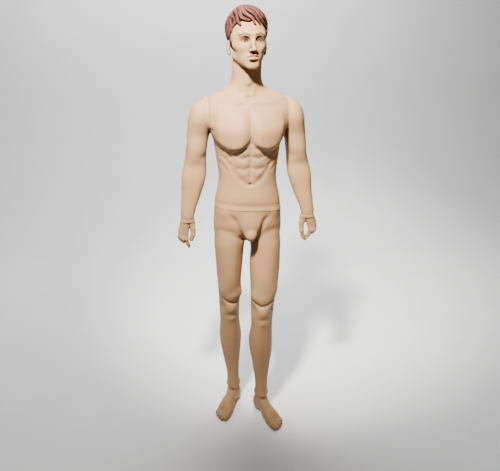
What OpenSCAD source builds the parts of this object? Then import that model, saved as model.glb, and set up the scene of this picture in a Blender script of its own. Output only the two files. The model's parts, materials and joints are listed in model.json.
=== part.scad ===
// Full-length male display mannequin: glass-fibre shells that come apart at the
// waist, shoulders, wrists and left groin. Millimetres, +Z up, the figure faces -Y,
// and its left side is +X. The origin is on the floor, under the middle of its box.

/* [Figure] */
// Height of the waist seam above the floor, on the midline
seam_z = 1035; // [1030:1:1040]
// Slope of the waist seam, left hip down, in degrees
seam_tilt = 3.5; // [0:0.5:4]
// Distance of each shoulder seam from the midline
shoulder_x = 160; // [158:1:162]
// Turn of the head to its left, in degrees
head_turn = 6; // [2:1:20]
// Toe-out of the right foot, in degrees
right_toe_out = 27; // [20:1:30]
// Toe-out of the left foot, in degrees
left_toe_out = 19; // [12:1:25]

/* [Shells] */
// Thickness of the glass-fibre shells
wall = 4; // [3:0.5:5]
// Width of each visible seam
seam_gap = 0.8; // [0.6:0.1:1.2]
// Thickness of the plywood boards that close the waist
board_t = 12; // [9:1:15]

/* [Fittings] */
// Radius of the waist post
post_r = 14; // [12:1:16]
// Width of the square key on the waist post
key_w = 22; // [18:1:24]
// Radius of the arm studs
stud_r = 9; // [8:0.5:10]
// Length of the arm studs inside the torso
stud_l = 34; // [28:1:36]
// Radius of the pins that hold the hands
wrist_pin_r = 5; // [4:0.5:6]
// Length of the pins that hold the hands
wrist_pin_l = 30; // [24:1:34]
// Radius of the pin that holds the left leg
leg_pin_r = 12; // [10:1:13]
// Length of the pin that holds the left leg
leg_pin_l = 46; // [40:1:50]
// Radius of the hole for a stand's rod in the right foot
foot_rod_r = 5.5; // [5:0.5:7]
// Depth of that hole
foot_socket_l = 55; // [45:1:58]
// Radial running clearance of every shaft
play = 0.08; // [0.05:0.01:0.1]

/* [Hidden] */
$fn = 48;
// Puts the middle of the finished figure's box over the origin
to_origin = [2, 46.74, 0];

lean = -tan(seam_tilt);
half_gap = seam_gap / 2;
// Centre and direction of the shoulder seam's fitting
shoulder_z = 1428;
shoulder_y = 12;
// Wrist seam and the forearm's direction there
wrist = [264, -28, 1004];
wrist_lean = [9, 7];
// The groin seam is a plane at 45 degrees through this point, square to the front
groin = [25, 0, 900];
groin_fit = [82, 4, 957];
neck_z = 1556;
head_axis = [0, -12, 0];
right_ankle = [-64, 56];
left_ankle = [61, -40];

// Rows of a body: height, centre x and y, reach to +x, -x, front and back,
// turn about z, slope along x, and squareness of the section.
TORSO = [
    [1035,  0,  0, 147, 147, 106, 106, 0, lean, 2.5],
    [1065,  0,  0, 144, 144, 105,  96, 0, lean, 2.5],
    [1100,  0,  0, 137, 137, 102,  82, 0, 0.7 * lean, 2.45],
    [1140,  0,  0, 128, 128,  99,  75, 0, 0.35 * lean, 2.4],
    [1180,  0,  0, 125, 125, 100,  76, 0, 0, 2.4],
    [1215,  0,  0, 128, 128, 103,  83, 0, 0, 2.4],
    [1250,  0,  0, 132, 132, 108,  93, 0, 0, 2.4],
    [1285,  0,  0, 137, 137, 114, 103, 0, 0, 2.4],
    [1320,  0,  0, 142, 142, 122, 111, 0, 0, 2.4],
    [1350,  0,  0, 150, 150, 128, 115, 0, 0, 2.4],
    [1370,  0,  0, 160, 160, 129, 117, 0, 0, 2.3],
    [1390,  0,  4, 178, 178, 130, 114, 0, 0, 2.15],
    [1420,  0,  8, 190, 190, 126, 108, 0, 0, 2.05],
    [1450,  0, 10, 196, 196, 112, 100, 0, 0, 2.1],
    [1478,  0, 12, 190, 190,  92,  90, 0, 0, 2.1],
    [1497,  0, 14, 170, 170,  76,  78, 0, 0, 2.0],
    [1512,  0, 14, 142, 142,  66,  68, 0, 0, 2.0],
    [1524,  0, 12, 112, 112,  61,  63, 0, 0, 2.0],
    [1537,  0, 10,  84,  84,  59,  60, 0, 0, 2.0],
    [1556,  0,  8,  64,  64,  58,  58, 0, 0, 2.0]
];
HEAD = [
    [1556,  0, 20, 64, 64, 58, 58, 0, 0, 2.0],
    [1575,  0, 18, 60, 60, 60, 54, 0, 0, 2.0],
    [1594,  0, 16, 58, 58, 62, 52, 0, 0, 2.0],
    [1603,  0, 10, 58, 58, 76, 56, 0, 0, 2.1],
    [1612,  0,  0, 60, 60, 96, 66, 0, 0, 2.1],
    [1630,  0,  0, 65, 65, 99, 68, 0, 0, 2.1],
    [1655,  0,  0, 69, 69, 99, 78, 0, 0, 2.1],
    [1685,  0,  0, 73, 73, 100, 92, 0, 0, 2.1],
    [1715,  0,  0, 76, 76, 97, 98, 0, 0, 2.1],
    [1745,  0,  0, 77, 77, 98, 101, 0, 0, 2.1],
    [1775,  0,  0, 76, 76, 94, 98, 0, 0, 2.1],
    [1802,  0,  0, 69, 69, 83, 88, 0, 0, 2.1],
    [1822,  0,  0, 56, 56, 66, 72, 0, 0, 2.0],
    [1835,  0,  0, 38, 38, 44, 50, 0, 0, 2.0],
    [1842,  0,  0, 14, 14, 16, 20, 0, 0, 2.0]
];
// The left arm; the right one is its mirror image
ARM = [
    [1004, 264, -28, 30, 30, 23, 23, 0, 0, 2.2],
    [1036, 259, -22, 33, 33, 26, 27, 0, 0, 2.2],
    [1072, 250, -14, 39, 39, 31, 33, 0, 0, 2.1],
    [1108, 242,  -5, 44, 44, 37, 39, 0, 0, 2.1],
    [1144, 235,   3, 48, 48, 43, 43, 0, 0, 2.1],
    [1180, 229,   9, 51, 51, 46, 44, 0, 0, 2.1],
    [1214, 224,  13, 50, 50, 45, 45, 0, 0, 2.1],
    [1250, 219,  14, 47, 47, 50, 49, 0, 0, 2.1],
    [1285, 214,  14, 46, 45, 54, 53, 0, 0, 2.1],
    [1320, 209,  14, 47, 46, 55, 56, 0, 0, 2.1],
    [1350, 205,  14, 47, 50, 56, 59, 0, 0, 2.1],
    [1380, 200,  10, 46, 60, 64, 64, 0, 0, 2.1],
    [1410, 196,   8, 46, 80, 68, 66, 0, 0, 2.2],
    [1440, 192,   9, 45, 80, 65, 65, 0, 0, 2.2],
    [1465, 190,  12, 38, 70, 57, 57, 0, 0, 2.1],
    [1482, 188,  13, 26, 60, 45, 45, 0, 0, 2.0],
    [1494, 184,  14, 12, 40, 28, 28, 0, 0, 2.0]
];
// From the sole to the waist seam. Above the crotch both legs share the pelvis's rows.
PELVIS = [
    [ 912,  0,   4, 150, 150,  92, 118, 0, 0, 2.3],
    [ 935,  0,   2, 150, 150,  95, 126, 0, 0, 2.35],
    [ 965,  0,   0, 149, 149, 101, 127, 0, 0.5 * lean, 2.4],
    [1000,  0,   0, 148, 148, 105, 118, 0, 0.9 * lean, 2.45],
    [1035,  0,   0, 147, 147, 106, 106, 0, lean, 2.5]
];
FOOT = [
    [  0,  0, 0, 34, 34, 136, 44, 0, 0, 2.6],
    [  6,  0, 0, 39, 39, 146, 51, 0, 0, 2.6],
    [ 16,  0, 0, 41, 41, 148, 54, 0, 0, 2.5],
    [ 28,  0, 0, 39, 39, 138, 54, 0, 0, 2.4],
    [ 42,  0, 0, 36, 36, 112, 52, 0, 0, 2.2],
    [ 58,  0, 0, 33, 33,  86, 48, 0, 0, 2.1],
    [ 76,  0, 0, 32, 32,  64, 44, 0, 0, 2.1]
];
// Toes of the right foot, big toe first: root, middle and tip, each x, y, z and radius
TOES = [
    [[ 22, -118, 20, 17], [ 23, -152, 16, 14], [ 22, -174, 12, 11]],
    [[  5, -126, 18, 12], [  6, -160, 14, 10], [  6, -180,  9,  8]],
    [[ -8, -122, 16, 11], [ -9, -152, 13,  9], [-10, -170,  8, 7.5]],
    [[-20, -112, 15, 11], [-22, -140, 12,  9], [-24, -157,  8, 7.5]],
    [[-30,  -98, 14, 10], [-34, -124, 10,  9], [-36, -138,  8,  7]]
];
RIGHT_LEG = [
    [ 98, -64, 56, 32, 32, 50, 41, 0, 0, 2.1],
    [130, -65, 56, 30, 30, 41, 39, 0, 0, 2.1],
    [182, -67, 54, 32, 32, 38, 41, 0, 0, 2.1],
    [230, -70, 50, 38, 38, 40, 49, 0, 0, 2.1],
    [280, -73, 45, 43, 43, 43, 58, 0, 0, 2.1],
    [330, -76, 39, 48, 48, 46, 65, 0, 0, 2.1],
    [380, -78, 33, 49, 49, 49, 66, 0, 0, 2.1],
    [430, -80, 26, 47, 47, 51, 60, 0, 0, 2.1],
    [480, -82, 19, 45, 45, 54, 54, 0, 0, 2.1],
    [530, -84, 12, 47, 47, 58, 52, 0, 0, 2.1],
    [580, -84,  7, 49, 49, 61, 56, 0, 0, 2.1],
    [640, -84,  3, 51, 51, 67, 66, 0, 0, 2.1],
    [700, -85,  1, 54, 54, 75, 74, 0, 0, 2.1],
    [770, -83,  1, 59, 60, 82, 82, 0, 0, 2.1],
    [830, -82,  2, 63, 64, 86, 90, 0, 0, 2.15],
    [870, -80,  3, 68, 69, 88, 102, 0, 0, 2.2],
    [892, -70,  4, 76, 80, 90, 112, 0, 0, 2.25]
];
LEFT_LEG = [
    [ 98, 61, -40, 32, 32, 50, 41, 0, 0, 2.1],
    [130, 61, -40, 30, 30, 41, 39, 0, 0, 2.1],
    [182, 60, -42, 32, 32, 38, 41, 0, 0, 2.1],
    [230, 59, -45, 38, 38, 40, 49, 0, 0, 2.1],
    [280, 58, -49, 43, 43, 43, 58, 0, 0, 2.1],
    [330, 57, -53, 49, 49, 46, 65, 0, 0, 2.1],
    [380, 56, -57, 52, 52, 49, 66, 0, 0, 2.1],
    [430, 56, -60, 51, 51, 51, 60, 0, 0, 2.1],
    [480, 57, -62, 49, 49, 54, 54, 0, 0, 2.1],
    [530, 58, -61, 52, 52, 58, 52, 0, 0, 2.1],
    [580, 61, -55, 55, 55, 62, 56, 0, 0, 2.1],
    [640, 66, -46, 58, 58, 68, 66, 0, 0, 2.1],
    [700, 71, -35, 64, 64, 76, 74, 0, 0, 2.1],
    [770, 76, -21, 67, 68, 82, 82, 0, 0, 2.1],
    [830, 80, -10, 66, 66, 86, 90, 0, 0, 2.15],
    [870, 80,  -3, 70, 70, 88, 100, 0, 0, 2.2],
    [892, 70,   1, 80, 76, 90, 110, 0, 0, 2.25]
];

// Circles that the wood screws sit on
bush_screw_r = post_r + 14;
socket_screw_r = key_w + 8;
leg_screw_r = leg_pin_r + 12;
arm_screw_r = stud_r + 12;
// Thickness of the metal flanges, and how far each waist board is sunk below its rim
flange_t = 3;
sink = 6;

// ---- Lofted bodies -------------------------------------------------------------

function foot_rows(ankle, toe_out) =
    [for (r = FOOT) [r[0], ankle[0], ankle[1], r[3], r[4], r[5], r[6], toe_out, 0, r[9]]];
PELVIS_LEG = concat(foot_rows(right_ankle, -right_toe_out), RIGHT_LEG, PELVIS);
LEFT_LEG_ALL = concat(foot_rows(left_ankle, left_toe_out), LEFT_LEG, PELVIS);

// Slope of a table at one of its rows, for the smooth curve through them
function slope(t, i) =
    let (a = max(i - 1, 0), b = min(i + 1, len(t) - 1)) (t[b] - t[a]) / (t[b][0] - t[a][0]);
function last_below(t, z) = max([0, for (k = [0:len(t) - 2]) if (t[k][0] <= z) k]);
// The table's row at height z, on a cubic curve
function row(t, z) =
    let (
        i = last_below(t, z), h = t[i + 1][0] - t[i][0], u = (z - t[i][0]) / h,
        u2 = u * u, u3 = u2 * u
    )
    t[i] * (2 * u3 - 3 * u2 + 1) + slope(t, i) * (h * (u3 - 2 * u2 + u))
    + t[i + 1] * (3 * u2 - 2 * u3) + slope(t, i + 1) * (h * (u3 - u2));
// Reach of a section towards angle a, made smaller by the wall on an inner surface
function reach(s, a, inset) =
    let (
        rx = (cos(a) >= 0 ? s[3] : s[4]) - inset, ry = (sin(a) >= 0 ? s[6] : s[5]) - inset,
        e = s[9]
    )
    pow(pow(abs(cos(a)) / rx, e) + pow(abs(sin(a)) / ry, e), -1 / e);
function turned(p, a) = [p[0] * cos(a) - p[1] * sin(a), p[0] * sin(a) + p[1] * cos(a)];
// One ring of points at height z
function ring(t, z, n, inset, keep) =
    let (s = row(t, z))
    [for (k = [0:n - 1])
        let (
            a = 360 * k / n, r = reach(s, a, inset),
            q = turned([r * cos(a), r * sin(a)], s[7]),
            p = [s[1] + q[0], s[2] + q[1], z]
        )
        let (c = keep(p, inset, s)) [c[0], c[1], c[2] + s[8] * c[0]]];
function mean(points) =
    let (n = len(points)) [for (k = [0:2]) [for (p = points) p[k]] * [for (p = points) 1 / n]];
// Heights of the rings: the rows between lo and hi, with steps between them
function levels(t, lo, hi, steps) =
    let (ends = concat([lo], [for (r = t) if (r[0] > lo + 2 && r[0] < hi - 2) r[0]], [hi]))
    concat(
        [for (i = [0:len(ends) - 2]) for (j = [0:steps - 1])
            ends[i] + (ends[i + 1] - ends[i]) * j / steps],
        [hi]
    );
everything = function (p, inset, s) p;

// A closed solid through a table's sections from height lo to hi
module loft(t, lo, hi, n, steps = 1, inset = 0, keep = everything) {
    rings = [for (z = levels(t, lo, hi, steps)) ring(t, z, n, inset, keep)];
    m = len(rings);
    points = concat([for (r = rings) each r], [mean(rings[0]), mean(rings[m - 1])]);
    sides = [
        for (i = [0:m - 2]) for (k = [0:n - 1])
            let (a = i * n + k, b = i * n + (k + 1) % n) each [[a, a + n, b], [b, a + n, b + n]]
    ];
    caps = [
        for (k = [0:n - 1]) each [
            [m * n, k, (k + 1) % n],
            [m * n + 1, (m - 1) * n + (k + 1) % n, (m - 1) * n + k]
        ]
    ];
    polyhedron(points, concat(sides, caps));
}

// ---- Places and small parts ----------------------------------------------------

module at_waist() { translate([0, 0, seam_z]) rotate([0, seam_tilt, 0]) children(); }
// +Z points out of the torso, through the shoulder seam
module at_shoulder(side) {
    translate([side * shoulder_x, shoulder_y, shoulder_z]) rotate([0, side * 90, 0]) children();
}
// +Z points up the forearm
module at_wrist(side) {
    translate([side * wrist[0], wrist[1], wrist[2]])
        rotate([-wrist_lean[0], -side * wrist_lean[1], 0]) children();
}
// +Z points out of the left leg, into the pelvis
module at_groin() { translate(groin_fit) rotate([0, -45, 0]) children(); }
module mirrored(side) { mirror([side < 0 ? 1 : 0, 0, 0]) children(); }

// Countersunk wood screws on a circle, heads up and flush with z = 0
module screws(pitch_r, count, shank_l) {
    head_r = 3.6;
    head_h = 2.2;
    for (k = [0:count - 1]) rotate([0, 0, 360 * (k + 0.5) / count]) translate([pitch_r, 0, 0])
        difference() {
            union() {
                translate([0, 0, -head_h]) cylinder(h = head_h, r1 = 1.8, r2 = head_r);
                translate([0, 0, -shank_l]) cylinder(h = shank_l - head_h / 2, r = 1.8);
            }
            for (a = [0, 90]) rotate([0, 0, a])
                translate([-2.2, -0.4, -1]) cube([4.4, 0.8, 2]);
        }
}
// The holes that those screws fill
module screw_holes(pitch_r, count, shank_l) {
    for (k = [0:count - 1]) rotate([0, 0, 360 * (k + 0.5) / count]) translate([pitch_r, 0, 0]) {
        translate([0, 0, -2.3]) cylinder(h = 2.5, r1 = 1.9, r2 = 3.9);
        translate([0, 0, -shank_l - 0.2]) cylinder(h = shank_l + 0.2, r = 1.9);
    }
}
module screw_holes_up(pitch_r, count, shank_l) {
    mirror([0, 0, 1]) screw_holes(pitch_r, count, shank_l);
}
// Straight pilot holes for the same screws, from z = 0 down
module pilot_holes(pitch_r, count, depth) {
    for (k = [0:count - 1]) rotate([0, 0, 360 * (k + 0.5) / count])
        translate([pitch_r, 0, -depth]) cylinder(h = depth + 0.5, r = 1.9);
}
// A flat board that fills a body's inside from height lo to hi along the seam's normal
module board(t, lo, hi) {
    loft(t, lo, hi, 36, 1, wall + 0.1);
}

// ---- Lower body ----------------------------------------------------------------

// Five toes on a foot; side is -1 on the right and 1 on the left
module toes(side, ankle, toe_out) {
    translate([ankle[0], ankle[1], 0]) rotate([0, 0, toe_out]) mirror([side > 0 ? 1 : 0, 0, 0])
        for (t = TOES) for (i = [0, 1]) hull() for (j = [t[i], t[i + 1]])
            translate([j[0], j[1], j[2]]) sphere(r = j[3], $fn = 8);
}

// Where a section's row meets a plane beside the groin seam, on a slope of lift per x
function groin_edge(z, lift, away) =
    (groin[0] + z - groin[2] + away * sqrt(2)) / (1 - lift);
// Everything on the right of the groin seam
right_of_groin = function (p, inset, s)
    let (edge = p[2] < 885 ? p[0] : groin_edge(p[2], s[8], -half_gap - inset))
    [min(p[0], edge), p[1], p[2]];
// The rest, each point beyond the seam drawn in to it from the middle of what stays
left_of_groin = function (p, inset, s)
    let (
        edge = groin_edge(p[2], s[8], half_gap + inset),
        mid = (edge + s[1] + s[3] - inset) / 2
    )
    p[0] >= edge ? p
    : [edge, s[2] + (p[1] - s[2]) * (mid - edge) / (mid - p[0]), p[2]];

module pelvis_leg_shell() {
    color("tan") difference() {
        union() {
            loft(PELVIS_LEG, 0, seam_z - half_gap, 30, 1, 0, right_of_groin);
            toes(-1, right_ankle, -right_toe_out);
        }
        loft(PELVIS_LEG, 60, seam_z + 3, 22, 1, wall, right_of_groin);
        at_groin() translate([0, 0, -2]) cylinder(h = 14, r = 30);
        at_foot_rod() translate([0, 0, -1]) cylinder(h = foot_socket_l + 1.1, r = foot_rod_r + 2.6);
    }
}
module at_foot_rod() { translate([right_ankle[0], right_ankle[1] - 4, 0]) children(); }
// Steel tube that takes a stand's rod under the right heel
module foot_socket() {
    color("silver") at_foot_rod() difference() {
        cylinder(h = foot_socket_l, r = foot_rod_r + 2.5);
        translate([0, 0, -1]) cylinder(h = foot_socket_l + 2, r = foot_rod_r);
    }
}
pelvis_board_z = seam_z - half_gap - sink;
module pelvis_board() {
    color("burlywood") difference() {
        loft(PELVIS_LEG, pelvis_board_z - board_t, pelvis_board_z, 22, 1, wall + 1.6, right_of_groin);
        // Its left end stops short of the groin seam
        translate([106, -200, 900]) cube([100, 400, 200]);
        at_waist() {
            translate([0, 0, -60]) cylinder(h = 60, r = post_r + 5.05);
            translate([0, 0, -half_gap - sink]) pilot_holes(bush_screw_r, 4, 10);
        }
    }
}
module waist_bush() {
    color("silver") at_waist() translate([0, 0, -half_gap - sink + 0.05]) difference() {
        union() {
            cylinder(h = flange_t, r = post_r + 20);
            translate([0, 0, -44]) cylinder(h = 44.5, r = post_r + 5);
        }
        translate([0, 0, -45]) cylinder(h = 50, r = post_r + play);
        translate([0, 0, flange_t]) screw_holes(bush_screw_r, 4, 5);
    }
}
module waist_bush_screws() {
    color("gray") at_waist() translate([0, 0, -half_gap - sink + 0.05 + flange_t])
        screws(bush_screw_r, 4, board_t);
}

module leg_socket_block() {
    color("burlywood") at_groin() translate([0, 0, half_gap + wall + 0.2]) difference() {
        translate([-38, -45, 0]) cube([62, 90, 30]);
        translate([0, 0, -1]) cylinder(h = 32, r = leg_pin_r + 5.05);
        mirror([0, 0, 1]) pilot_holes(leg_screw_r, 4, 14);
    }
}
module leg_socket() {
    color("silver") at_groin() translate([0, 0, half_gap]) difference() {
        union() {
            cylinder(h = wall + 0.2, r = 29.9);
            cylinder(h = wall + 30, r = leg_pin_r + 5);
        }
        translate([0, 0, -1]) cylinder(h = 50, r = leg_pin_r + play);
        screw_holes_up(leg_screw_r, 4, 6);
    }
}
module leg_socket_screws() {
    color("gray") at_groin() translate([0, 0, half_gap]) mirror([0, 0, 1])
        screws(leg_screw_r, 4, 17);
}

// ---- Waist post ----------------------------------------------------------------

// The collar turns on the bush; the square key above it carries the torso round
collar_z = -half_gap - sink + flange_t + 0.1;
module waist_post() {
    color("silver") at_waist() {
        translate([0, 0, -half_gap - 50]) cylinder(h = 52, r = post_r);
        translate([0, 0, collar_z]) cylinder(h = 4, r = post_r + 6);
        translate([-key_w / 2, -key_w / 2, collar_z + 3.9]) cube([key_w, key_w, 56]);
        translate([0, 0, collar_z + 59.8]) cylinder(h = 4, r1 = key_w / 2 - 0.5, r2 = key_w / 2 - 3);
    }
}

// ---- Torso and head ------------------------------------------------------------

inside_seams = function (p, inset, s)
    let (edge = shoulder_x - half_gap - inset) [min(max(p[0], -edge), edge), p[1], p[2]];

module torso_shell() {
    color("tan") difference() {
        loft(TORSO, seam_z + half_gap, neck_z - 0.1, 36, 1, 0, inside_seams);
        loft(TORSO, seam_z - 3, neck_z + 3, 28, 1, wall, inside_seams);
        for (side = [-1, 1]) at_shoulder(side) translate([0, 0, -12]) cylinder(h = 14, r = 28);
    }
}
module torso_board() {
    color("burlywood") difference() {
        loft(TORSO, seam_z + half_gap + sink, seam_z + half_gap + sink + board_t, 28, 1, wall + 1.2);
        at_waist() {
            translate([-key_w / 2 - 4.1, -key_w / 2 - 4.1, -2]) cube([key_w + 8.2, key_w + 8.2, 60]);
            translate([0, 0, half_gap + sink]) mirror([0, 0, 1]) pilot_holes(socket_screw_r, 4, 10);
        }
    }
}
socket_z = half_gap + sink - 0.05 - flange_t;
module waist_socket() {
    color("silver") at_waist() difference() {
        union() {
            translate([-30, -30, socket_z]) cube([60, 60, flange_t]);
            translate([-key_w / 2 - 4, -key_w / 2 - 4, socket_z]) cube([key_w + 8, key_w + 8, 58]);
        }
        translate([-key_w / 2 - 0.3, -key_w / 2 - 0.3, 0]) cube([key_w + 0.6, key_w + 0.6, 70]);
        translate([0, 0, socket_z]) screw_holes_up(socket_screw_r, 4, 5);
    }
}
module waist_socket_screws() {
    color("gray") at_waist() translate([0, 0, socket_z]) mirror([0, 0, 1])
        screws(socket_screw_r, 4, board_t);
}
// A glued sleeve inside the neck that joins head and torso
module neck_collar() {
    color("tan") difference() {
        translate([0, 8, neck_z - 16]) cylinder(h = 32, r = 46);
        translate([0, 8, neck_z - 17]) cylinder(h = 34, r = 42);
    }
}

module in_head() { translate(head_axis) rotate([0, 0, head_turn]) children(); }
module blob(p, r) { translate(p) sphere(r = r, $fn = 10); }
// Raised parts of the face and the ears
module features() {
    hull() { blob([0, -97, 1716], 6); blob([0, -116, 1678], 7); blob([0, -100, 1674], 9); }
    for (side = [-1, 1]) {
        hull() { blob([side * 4, -112, 1676], 5); blob([side * 14, -98, 1675], 6); }
        hull() { blob([side * 10, -94, 1737], 6); blob([side * 44, -78, 1739], 7); }
        hull() {
            blob([side * 75, 6, 1708], 5);
            blob([side * 82, 14, 1712], 3);
            blob([side * 76, 4, 1676], 4);
        }
    }
    hull() { blob([-18, -94, 1654], 5); blob([0, -103, 1656], 5); blob([18, -94, 1654], 5); }
    hull() { blob([-14, -90, 1618], 12); blob([14, -90, 1618], 12); blob([0, -96, 1630], 9); }
}
module head_shell() {
    color("tan") in_head() difference() {
        union() {
            loft(HEAD, neck_z, 1842, 30, 1);
            features();
        }
        loft(HEAD, neck_z - 3, 1834, 22, 1, wall);
    }
}
// Ends of the locks: angle round the crown, height of the tip, and sideways sweep
LOCKS = [
    [-112, 1772, 26], [-98, 1764, 30], [-84, 1762, 30], [-70, 1766, 26], [-52, 1764, 18],
    [-20, 1742, 6], [8, 1724, 0], [35, 1690, 0], [62, 1668, 4], [90, 1662, 0],
    [118, 1668, -4], [145, 1690, 0], [172, 1724, 0], [200, 1742, -6], [230, 1768, 18]
];
// A moulded wig-like cap: a shell above the hairline, with thick locks swept over it
module moulded_hair() {
    color("saddlebrown") in_head() difference() {
        union() {
            intersection() {
                translate([0, 3, 6]) loft(HEAD, 1630, 1842, 30, 1, -9);
                translate([-120, -140, 1780]) rotate([-27, 0, 0]) cube([240, 320, 200]);
            }
            for (l = LOCKS) {
                top = [30 * cos(l[0]), 14 + 40 * sin(l[0]), 1836];
                side = [74 * cos(l[0]), 4 + 96 * sin(l[0]), (1812 + l[1]) / 2];
                tip = [
                    75 * cos(l[0] + l[2] / 2), 4 + 99 * sin(l[0] + l[2] / 2), l[1] + 6
                ];
                hull() { blob(top, 13); blob(side, 10); }
                hull() { blob(side, 10); blob(tip, 6); }
            }
        }
        loft(HEAD, 1620, 1842.4, 30, 1, -0.3);
        in_face_gap() features();
    }
}
module in_face_gap() { minkowski() { children(); cube(0.6, center = true); } }

module shoulder_block(side) {
    color("burlywood") at_shoulder(side) difference() {
        translate([-34, -28, -half_gap - wall - 20.2]) cube([68, 56, 20]);
        translate([0, 0, -60]) cylinder(h = 60, r = stud_r + 5.05);
        translate([0, 0, -half_gap - wall - 0.2]) pilot_holes(arm_screw_r, 4, 16);
    }
}
module shoulder_socket(side) {
    color("silver") at_shoulder(side) translate([0, 0, -half_gap]) difference() {
        union() {
            translate([0, 0, -wall - 0.1]) cylinder(h = wall + 0.1, r = 27.9);
            translate([0, 0, -stud_l - 2]) cylinder(h = stud_l, r = stud_r + 5);
        }
        translate([0, 0, -stud_l - 3]) cylinder(h = stud_l + 6, r = stud_r + play);
        screw_holes(arm_screw_r, 4, 6);
    }
}
module shoulder_screws(side) {
    color("gray") at_shoulder(side) translate([0, 0, -half_gap]) screws(arm_screw_r, 4, 19);
}

// ---- Arms ----------------------------------------------------------------------

outside_seam = function (p, inset, s) [max(p[0], shoulder_x + half_gap + inset), p[1], p[2]];

module arm_shell(side) {
    color("tan") mirrored(side) difference() {
        loft(ARM, wrist[2] - 9, 1494, 22, 1, 0, outside_seam);
        loft(ARM, wrist[2] - 14, 1488, 18, 1, wall, outside_seam);
        at_wrist(1) translate([-60, -60, half_gap - 40]) cube([120, 120, 40]);
        at_shoulder(1) translate([0, 0, -2]) cylinder(h = 14, r = 28);
    }
}
module arm_block(side) {
    color("burlywood") at_shoulder(side) difference() {
        translate([-32, -36, half_gap + wall + 0.2]) cube([64, 72, 18]);
        translate([0, 0, half_gap + wall + 0.2]) mirror([0, 0, 1]) pilot_holes(arm_screw_r, 4, 16);
    }
}
module arm_stud(side) {
    color("silver") at_shoulder(side) difference() {
        union() {
            translate([0, 0, half_gap]) cylinder(h = wall + 0.1, r = 27.9);
            translate([0, 0, -stud_l]) cylinder(h = stud_l + 2, r = stud_r);
        }
        translate([0, 0, half_gap]) screw_holes_up(arm_screw_r, 4, 6);
    }
}
module arm_screws(side) {
    color("gray") at_shoulder(side) translate([0, 0, half_gap]) mirror([0, 0, 1])
        screws(arm_screw_r, 4, 19);
}
// Resin plug that closes the forearm and holds the wrist bush
plug_r = 17;
module wrist_plug(side) {
    color("tan") at_wrist(side) difference() {
        translate([0, 0, 3]) cylinder(h = 38, r = plug_r);
        translate([0, 0, 0]) cylinder(h = 60, r = wrist_pin_r + 2.55);
    }
}
module wrist_bush(side) {
    color("silver") at_wrist(side) difference() {
        union() {
            translate([0, 0, 1.6]) cylinder(h = 1.3, r = 12);
            translate([0, 0, 1.6]) cylinder(h = 38, r = wrist_pin_r + 2.5);
        }
        translate([0, 0, 0]) cylinder(h = 60, r = wrist_pin_r + play);
    }
}

// ---- Hands ---------------------------------------------------------------------

// Both hands are given as left hands: millimetres from the wrist, the thumb towards -x
// and the back of the hand towards -y. Each digit is a list of joints from root to tip.
// The right hand hangs with curled fingers and a straight index.
RIGHT_DIGITS = [
    [[-20, 4, -28], [-36, -2, -60], [-36, -3, -88], [-28, 0, -108]],
    [[  6, -6, -70], [  9, -10, -104], [ 4, -4, -126], [-4, 2, -140]],
    [[ 20, -7, -72], [ 24, -12, -100], [25, 0, -116], [22, 12, -110]],
    [[ 33, -6, -70], [ 37, -10, -94], [37, 3, -109], [33, 13, -103]],
    [[ 43, -2, -64], [ 46, -5, -86], [45, 5, -100], [42, 14, -95]]
];
// The left hand's thumb and index meet at their tips, round an open loop
LEFT_DIGITS = [
    [[-20, 2, -26], [-29, 0, -56], [-28, -2, -92], [-15, 0, -124]],
    [[  9, -4, -54], [ 16, -6, -86], [10, -2, -111], [-9, 2, -130]],
    [[ 22, -6, -58], [ 26, -10, -86], [28, 4, -100], [24, 13, -94]],
    [[ 32, -4, -56], [ 36, -8, -84], [36, 4, -96], [32, 13, -90]],
    [[ 40, 0, -52], [ 42, -2, -77], [42, 8, -88], [39, 15, -83]]
];
RIGHT_PALM = [[-14, 0, -34, 14], [2, -4, -68, 11], [40, -1, -62, 11]];
LEFT_PALM = [[-12, 0, -28, 14], [6, -2, -48, 10], [37, 0, -50, 11]];
DIGIT_R = [11, 9, 8.8, 8.4, 7.5];
module digit(joints, r) {
    for (i = [0:len(joints) - 2]) hull() {
        translate(joints[i]) sphere(r = r - i * 0.6, $fn = 8);
        translate(joints[i + 1]) sphere(r = r - (i + 1) * 0.6, $fn = 8);
    }
}
module hand(side) {
    digits = side > 0 ? LEFT_DIGITS : RIGHT_DIGITS;
    palm = side > 0 ? LEFT_PALM : RIGHT_PALM;
    color("tan") translate([side * wrist[0], wrist[1], wrist[2]]) mirrored(side) difference() {
        union() {
            hull() {
                rotate([-wrist_lean[0], -wrist_lean[1], 0]) translate([0, 0, -9])
                    scale([29.5, 22.5, 1]) cylinder(h = 9 - half_gap, r = 1, $fn = 22);
                for (b = palm) translate([b[0], b[1], b[2]]) sphere(r = b[3], $fn = 10);
            }
            for (i = [0:4]) digit(digits[i], DIGIT_R[i]);
        }
        rotate([-wrist_lean[0], -wrist_lean[1], 0]) translate([0, 0, -22]) cylinder(h = 30, r = 7.1);
    }
}
module hand_pin(side) {
    color("silver") at_wrist(side) {
        translate([0, 0, -21.5]) cylinder(h = 20, r = 7);
        translate([0, 0, -2]) cylinder(h = wrist_pin_l + 2, r = wrist_pin_r);
    }
}

// ---- Left leg ------------------------------------------------------------------

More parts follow.
